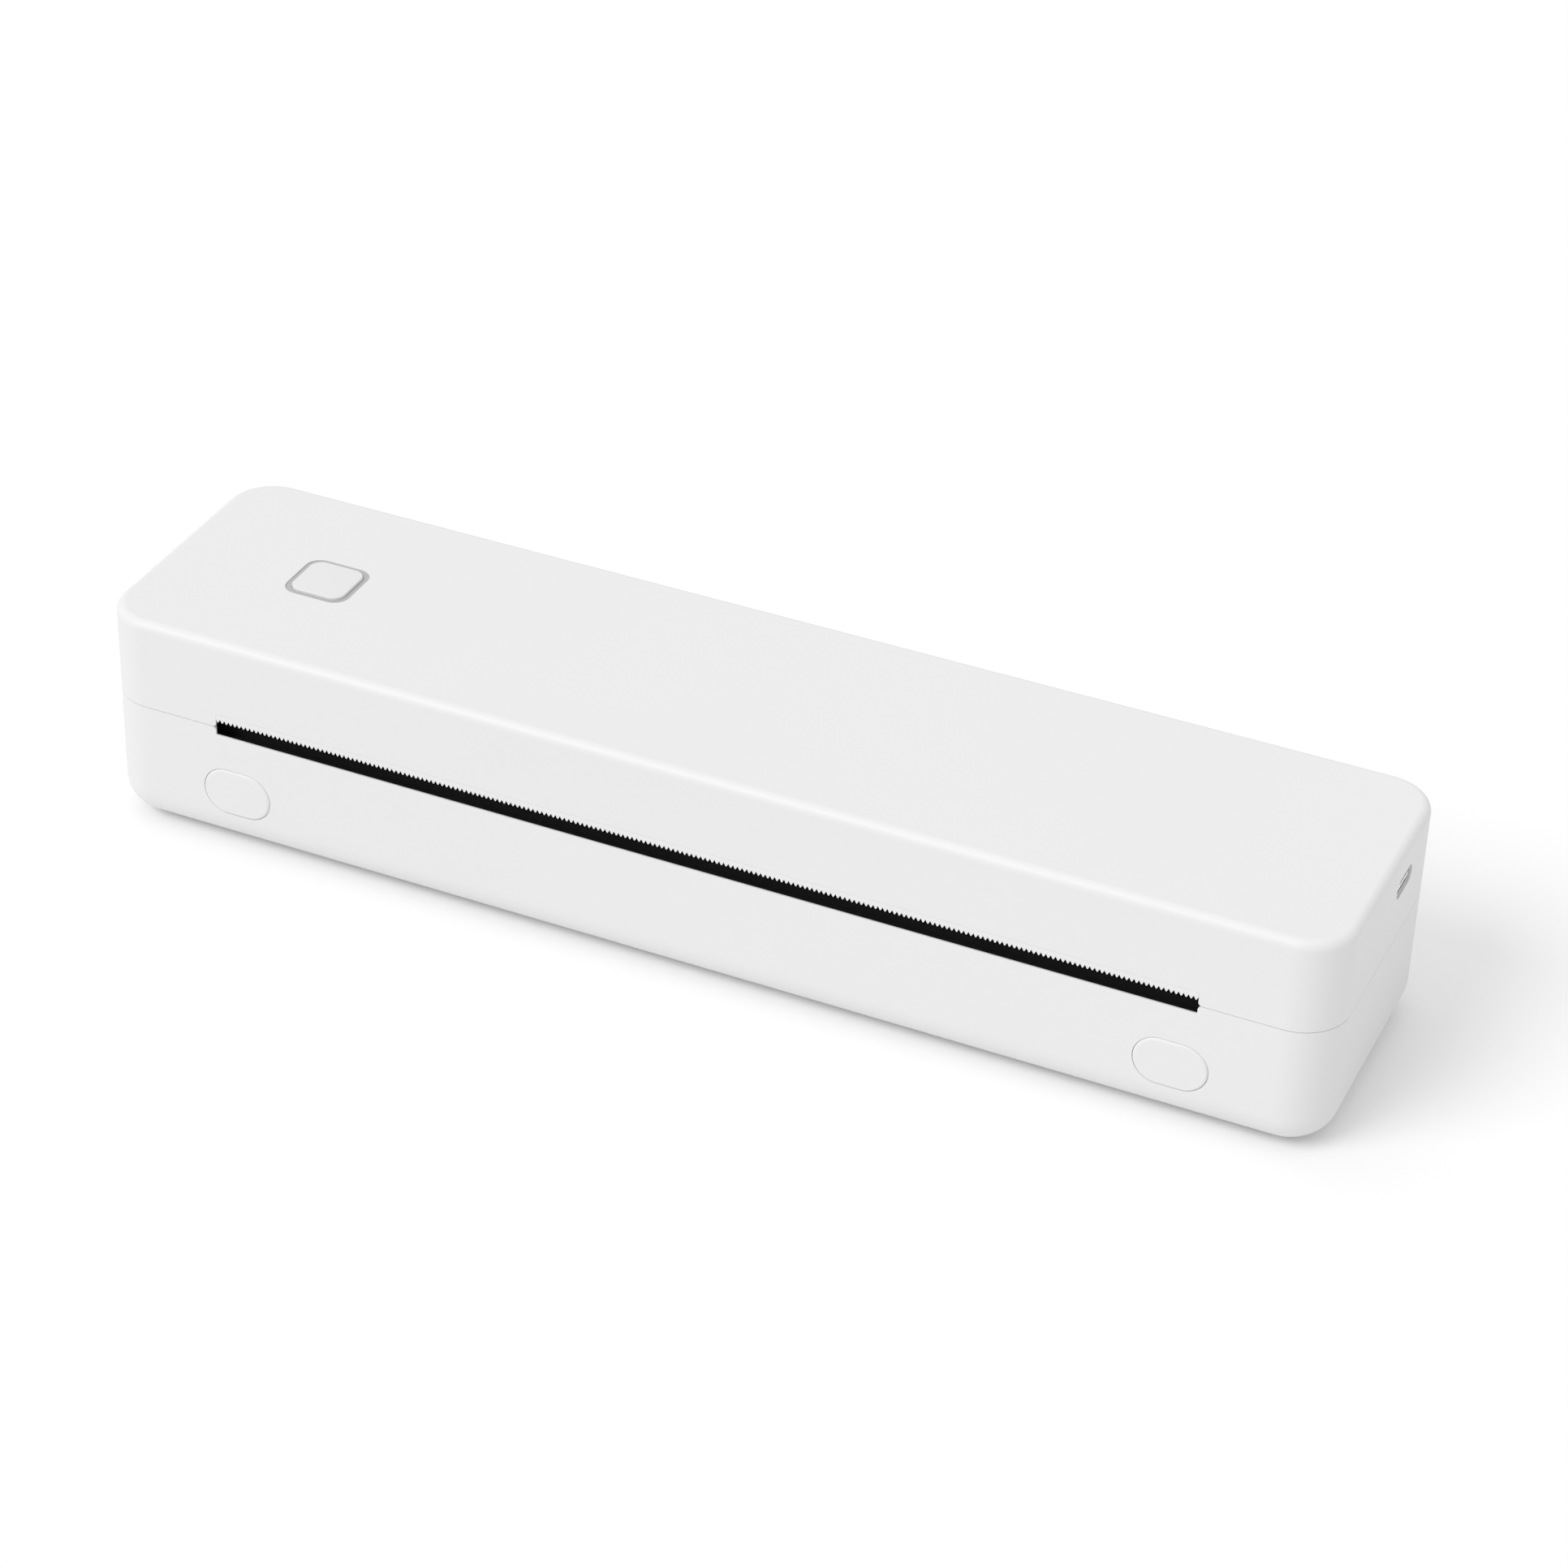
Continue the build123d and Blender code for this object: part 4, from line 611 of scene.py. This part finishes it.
def addTearStrip():
    low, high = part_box("tear_bar")
    root = low.z + tearStrip["tipLift"] + tearStrip["depth"]
    teeth = round((high.x - low.x) / tearStrip["pitch"])
    mesh = runTree(bladeTree(), "tearTeeth", [(low.x, low.y, root)], {
        "Points": 2 * teeth + 1, "Step": (high.x - low.x) / teeth / 2, "Depth": tearStrip["depth"],
        "Tip Round": tearStrip["tipRound"], "Rise": tearStrip["rise"], "Thickness": tearStrip["blade"],
        "Material": housingWhite})
    base = root + tearStrip["rise"]
    back = low.y + tearStrip["blade"]
    shape = bmesh.new()
    shape.from_mesh(mesh)
    addBar(shape, [(low.y, base), (back, base), (high.y, base + high.y - back), (high.y, high.z),
                   (low.y, high.z)], low.x, high.x)
    bmesh.ops.recalc_face_normals(shape, faces=shape.faces)
    shape.to_mesh(mesh)
    shape.free()
    addPiece("tearStrip", mesh, "tear_bar", sharp=28)


addTearStrip()
print("tear strip")

# springs, and the rubber dome that springs the key back
springs = {
    "head": {"wire": 0.6 * mm, "turns": 4.5},
    "latch": {"wire": 0.7 * mm, "turns": 7.5},
    "turnSteps": 28,
    "wireSides": 10,
    "spare": 0.06 * mm,        # room left at the squeezed end
}


def springTree():
    # a coil from z = 0 up to its height, its end turns lying nearly flat
    tree, given = startTree("coilSpring", {
        "Radius": "Float", "Wire": "Float", "Height": "Float", "Turns": "Float"})
    half = calc(tree, "MULTIPLY", given["Wire"], 0.5)
    mean = calc(tree, "SUBTRACT", given["Radius"], half)
    rise = calc(tree, "SUBTRACT", given["Height"], given["Wire"])
    spiral = addNode(tree, "GeometryNodeCurveSpiral", None,
                     {"Resolution": springs["turnSteps"], "Rotations": given["Turns"], "Start Radius": mean,
                      "End Radius": mean, "Height": rise})
    along = addNode(tree, "GeometryNodeSplineParameter").outputs["Factor"]
    eased = addNode(tree, "ShaderNodeMapRange", {"interpolation_type": "SMOOTHSTEP"}, {"Value": along})
    lift = calc(tree, "MULTIPLY", calc(tree, "SUBTRACT", eased.outputs["Result"], along), rise)
    shift = joinAxes(tree, z=calc(tree, "ADD", lift, half))
    coil = addNode(tree, "GeometryNodeSetPosition", None,
                   {"Geometry": spiral.outputs["Curve"], "Offset": shift})
    ring = addNode(tree, "GeometryNodeCurvePrimitiveCircle", None,
                   {"Resolution": springs["wireSides"], "Radius": half})
    wire = addNode(tree, "GeometryNodeCurveToMesh", None,
                   {"Curve": coil.outputs["Geometry"], "Profile Curve": ring.outputs["Curve"],
                    "Fill Caps": True})
    return endTree(tree, given, wire.outputs["Mesh"])


coilSpring = springTree()


def squeezeWith(piece):
    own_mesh(piece)


def addHeadSprings():
    boxes = solidBoxes("head_springs")
    low, high = boxes[0]
    spots = [((lo.x + hi.x) / 2, (lo.y + hi.y) / 2, lo.z) for lo, hi in boxes]
    mesh = runTree(coilSpring, "headCoils", spots, {
        "Radius": (high.x - low.x) / 2, "Wire": springs["head"]["wire"], "Height": high.z - low.z,
        "Turns": springs["head"]["turns"], "Turn": (0, 0, 0), "Material": springSteel})
    piece = addPiece("headCoils", mesh, "head_springs")
    squeezeWith(piece)


def addLatchSpring(side):
    name = "latch_spring_" + side
    label = "latchCoil" + side.capitalize()
    low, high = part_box(name)
    middleX = (low.x + high.x) / 2
    middleZ = (low.z + high.z) / 2
    mesh = runTree(coilSpring, label, [(middleX, low.y, middleZ)], {
        "Radius": (high.x - low.x) / 2, "Wire": springs["latch"]["wire"], "Height": high.y - low.y,
        "Turns": springs["latch"]["turns"], "Turn": (-math.pi / 2, 0, 0), "Material": springSteel})
    piece = addPiece(label, mesh, name)
    squeezeWith(piece)


def addDome():
    piece = addPiece("switchDome", shapeToMesh(mergedCopy("button_dome"), "switchDome"), "button_dome")
    squeezeWith(piece)


addHeadSprings()
for side in ("left", "right"):
    addLatchSpring(side)
addDome()
print("springs and dome")

# screws: pan heads with a cross recess
screws = {
    "headHeight": 1.3 * mm,
    "headRadius": 2.2 * mm,
    "headSides": 36,
    "headRings": 6,
    "crown": 0.7,              # how far the head's top draws in, and how late
    "crownPower": 4.0,
    # the cross that is cut out, in head radii and head heights; half of its height is in the head
    "crossLength": 1.15,
    "crossWidth": 0.26,
    "crossHeight": 1.3,
    "shankRadius": 1.1 * mm,
    "shankSides": 20,
}
# the axis that each row stands along, and +1 where the heads are at its high end
screwRows = {
    "tray_screws": (2, 1),
    "board_screws": (2, 1),
    "frame_screws": (2, -1),
    "liner_screws": (2, -1),
    "plate_screws": (0, 1),
}
screwTurns = {(2, 1): (0, 0, 0), (2, -1): (math.pi, 0, 0), (0, 1): (0, math.pi / 2, 0)}


def screwTree():
    # head above z = 0, shank below
    tree, given = startTree("panScrew", {
        "Head Radius": "Float", "Head Height": "Float", "Shank Radius": "Float", "Shank Length": "Float"})
    drum = addNode(tree, "GeometryNodeMeshCylinder", None,
                   {"Vertices": screws["headSides"], "Side Segments": screws["headRings"],
                    "Radius": given["Head Radius"], "Depth": given["Head Height"]})
    spot = position(tree)
    up = calc(tree, "ADD", spot["Z"], calc(tree, "MULTIPLY", given["Head Height"], 0.5))
    late = calc(tree, "POWER", calc(tree, "DIVIDE", up, given["Head Height"]), screws["crownPower"])
    drawnIn = calc(tree, "SQRT", calc(tree, "SUBTRACT", 1.0, calc(tree, "MULTIPLY", late, screws["crown"])))
    across = [calc(tree, "MULTIPLY", spot[axis], drawnIn) for axis in "XY"]
    head = addNode(tree, "GeometryNodeSetPosition", None,
                   {"Geometry": drum.outputs["Mesh"], "Position": joinAxes(tree, *across, up)})
    recessed = addNode(tree, "GeometryNodeMeshBoolean", {"operation": "DIFFERENCE", "solver": "EXACT"},
                       {"Mesh 1": head.outputs["Geometry"]})
    long = calc(tree, "MULTIPLY", given["Head Radius"], screws["crossLength"])
    narrow = calc(tree, "MULTIPLY", given["Head Radius"], screws["crossWidth"])
    deep = calc(tree, "MULTIPLY", given["Head Height"], screws["crossHeight"])
    top = joinAxes(tree, z=given["Head Height"])
    for pair in ((long, narrow), (narrow, long)):
        block = addNode(tree, "GeometryNodeMeshCube", None, {"Size": joinAxes(tree, *pair, deep)})
        arm = addNode(tree, "GeometryNodeTransform", None,
                      {"Geometry": block.outputs["Mesh"], "Translation": top})
        tree.links.new(arm.outputs["Geometry"], recessed.inputs["Mesh 2"])
    shank = addNode(tree, "GeometryNodeMeshCylinder", None,
                    {"Vertices": screws["shankSides"], "Radius": given["Shank Radius"],
                     "Depth": given["Shank Length"]})
    down = calc(tree, "MULTIPLY", given["Shank Length"], -0.5)
    below = addNode(tree, "GeometryNodeTransform", None,
                    {"Geometry": shank.outputs["Mesh"], "Translation": joinAxes(tree, z=down)})
    whole = addNode(tree, "GeometryNodeJoinGeometry")
    tree.links.new(recessed.outputs["Mesh"], whole.inputs["Geometry"])
    tree.links.new(below.outputs["Geometry"], whole.inputs["Geometry"])
    return endTree(tree, given, whole.outputs["Geometry"])


panScrew = screwTree()


def addScrews(name, axis, end):
    places = []
    for low, high in solidBoxes(name):
        place = (low + high) / 2
        place[axis] = high[axis] - screws["headHeight"] if end > 0 else low[axis] + screws["headHeight"]
        places.append(place)
    label = name.replace("_s", "S")
    mesh = runTree(panScrew, label, places, {
        "Head Radius": screws["headRadius"], "Head Height": screws["headHeight"],
        "Shank Radius": screws["shankRadius"], "Shank Length": high[axis] - low[axis] - screws["headHeight"],
        "Turn": screwTurns[(axis, end)], "Material": screwZinc})
    addPiece(label, mesh, name, sharp=30)


for name, (axis, end) in screwRows.items():
    addScrews(name, axis, end)
print("screws")

# stage: white floor, even sky, and two soft lights
stageLook = {
    "floorSize": 30.0,
    "floorColour": (0.9, 0.9, 0.9),
    # seen directly: colour and added light, so that the unshaded floor is white
    "floorSeen": (1.0, 1.0, 1.0),
    "floorLift": 0.045,
    "sky": 0.59,
    "skySeen": 1.0,
    # strength, degrees round from +X, degrees up, degrees wide
    "key": (1.1, 236.0, 44.0, 34.0),
    "top": (0.42, 130.0, 78.0, 60.0),
    "lampDistance": 2.0,
}


def whiteForView(tree, plain, seen):
    # what camera, glossy and see-through rays meet, in place of the plain closure
    path = addNode(tree, "ShaderNodeLightPath").outputs
    direct = calc(tree, "MAXIMUM", path["Is Camera Ray"], path["Is Glossy Ray"])
    either = calc(tree, "MAXIMUM", direct, path["Is Transmission Ray"])
    mix = addNode(tree, "ShaderNodeMixShader", None, {"Fac": either})
    tree.links.new(plain, mix.inputs[1])
    tree.links.new(seen, mix.inputs[2])
    return mix.outputs["Shader"]


def buildFloor():
    half = stageLook["floorSize"] / 2
    mesh = bpy.data.meshes.new("floor")
    mesh.from_pydata([(-half, -half, 0), (half, -half, 0), (half, half, 0), (-half, half, 0)], [],
                     [(0, 1, 2, 3)])
    floor = bpy.data.objects.new("floor", mesh)
    scene.collection.objects.link(floor)
    material = bpy.data.materials.new("floorWhite")
    material.use_nodes = True
    tree = material.node_tree
    tree.nodes.clear()
    paint = addNode(tree, "ShaderNodeBsdfDiffuse", None, {"Color": (*stageLook["floorColour"], 1)})
    bright = addNode(tree, "ShaderNodeBsdfDiffuse", None, {"Color": (*stageLook["floorSeen"], 1)})
    glow = addNode(tree, "ShaderNodeEmission", None, {"Strength": stageLook["floorLift"]})
    lifted = addNode(tree, "ShaderNodeAddShader")
    tree.links.new(bright.outputs["BSDF"], lifted.inputs[0])
    tree.links.new(glow.outputs["Emission"], lifted.inputs[1])
    surface = whiteForView(tree, paint.outputs["BSDF"], lifted.outputs["Shader"])
    addNode(tree, "ShaderNodeOutputMaterial", None, {"Surface": surface})
    mesh.materials.append(material)


def buildSky():
    world = bpy.data.worlds.new("studio")
    scene.world = world
    world.use_nodes = True
    tree = world.node_tree
    tree.nodes.clear()
    light, seen = (addNode(tree, "ShaderNodeBackground", None,
                           {"Color": (1, 1, 1, 1), "Strength": stageLook[name]}).outputs["Background"]
                   for name in ("sky", "skySeen"))
    addNode(tree, "ShaderNodeOutputWorld", None, {"Surface": whiteForView(tree, light, seen)})


def buildSun(name):
    strength, turn, rise, wide = stageLook[name]
    lamp = bpy.data.lights.new(name, "SUN")
    lamp.energy = strength
    lamp.angle = math.radians(wide)
    sun = bpy.data.objects.new(name, lamp)
    scene.collection.objects.link(sun)
    turn = math.radians(turn)
    rise = math.radians(rise)
    towards = Vector((math.cos(turn) * math.cos(rise), math.sin(turn) * math.cos(rise), math.sin(rise)))
    sun.location = towards * stageLook["lampDistance"]
    sun.rotation_euler = towards.to_track_quat("Z", "Y").to_euler()


buildFloor()
buildSky()
buildSun("key")
buildSun("top")

# camera, where the photograph was taken from
cameraSpot = {
    "target": Vector((5.93, 1.95, 29.46)) * mm,
    "azimuth": 23.01,
    "elevation": 33.69,
    "roll": 2.135,
    "distance": 868.35 * mm,
    "lens": 98.19,
    "sensor": 36.0,
    "clip": (0.01, 100.0),
}


def buildCamera():
    turn = math.radians(cameraSpot["azimuth"])
    rise = math.radians(cameraSpot["elevation"])
    roll = Quaternion((0, 0, 1), math.radians(cameraSpot["roll"]))
    back = Vector((math.sin(turn) * math.cos(rise), -math.cos(turn) * math.cos(rise), math.sin(rise)))
    data = bpy.data.cameras.new("camera")
    data.sensor_width = cameraSpot["sensor"]
    data.lens = cameraSpot["lens"]
    data.clip_start, data.clip_end = cameraSpot["clip"]
    camera = bpy.data.objects.new("camera", data)
    scene.collection.objects.link(camera)
    camera.location = cameraSpot["target"] + back * cameraSpot["distance"]
    camera.rotation_mode = "QUATERNION"
    camera.rotation_quaternion = back.to_track_quat("Z", "Y") @ roll
    scene.camera = camera


buildCamera()
scene.view_settings.view_transform = "Standard"
print("stage and camera")
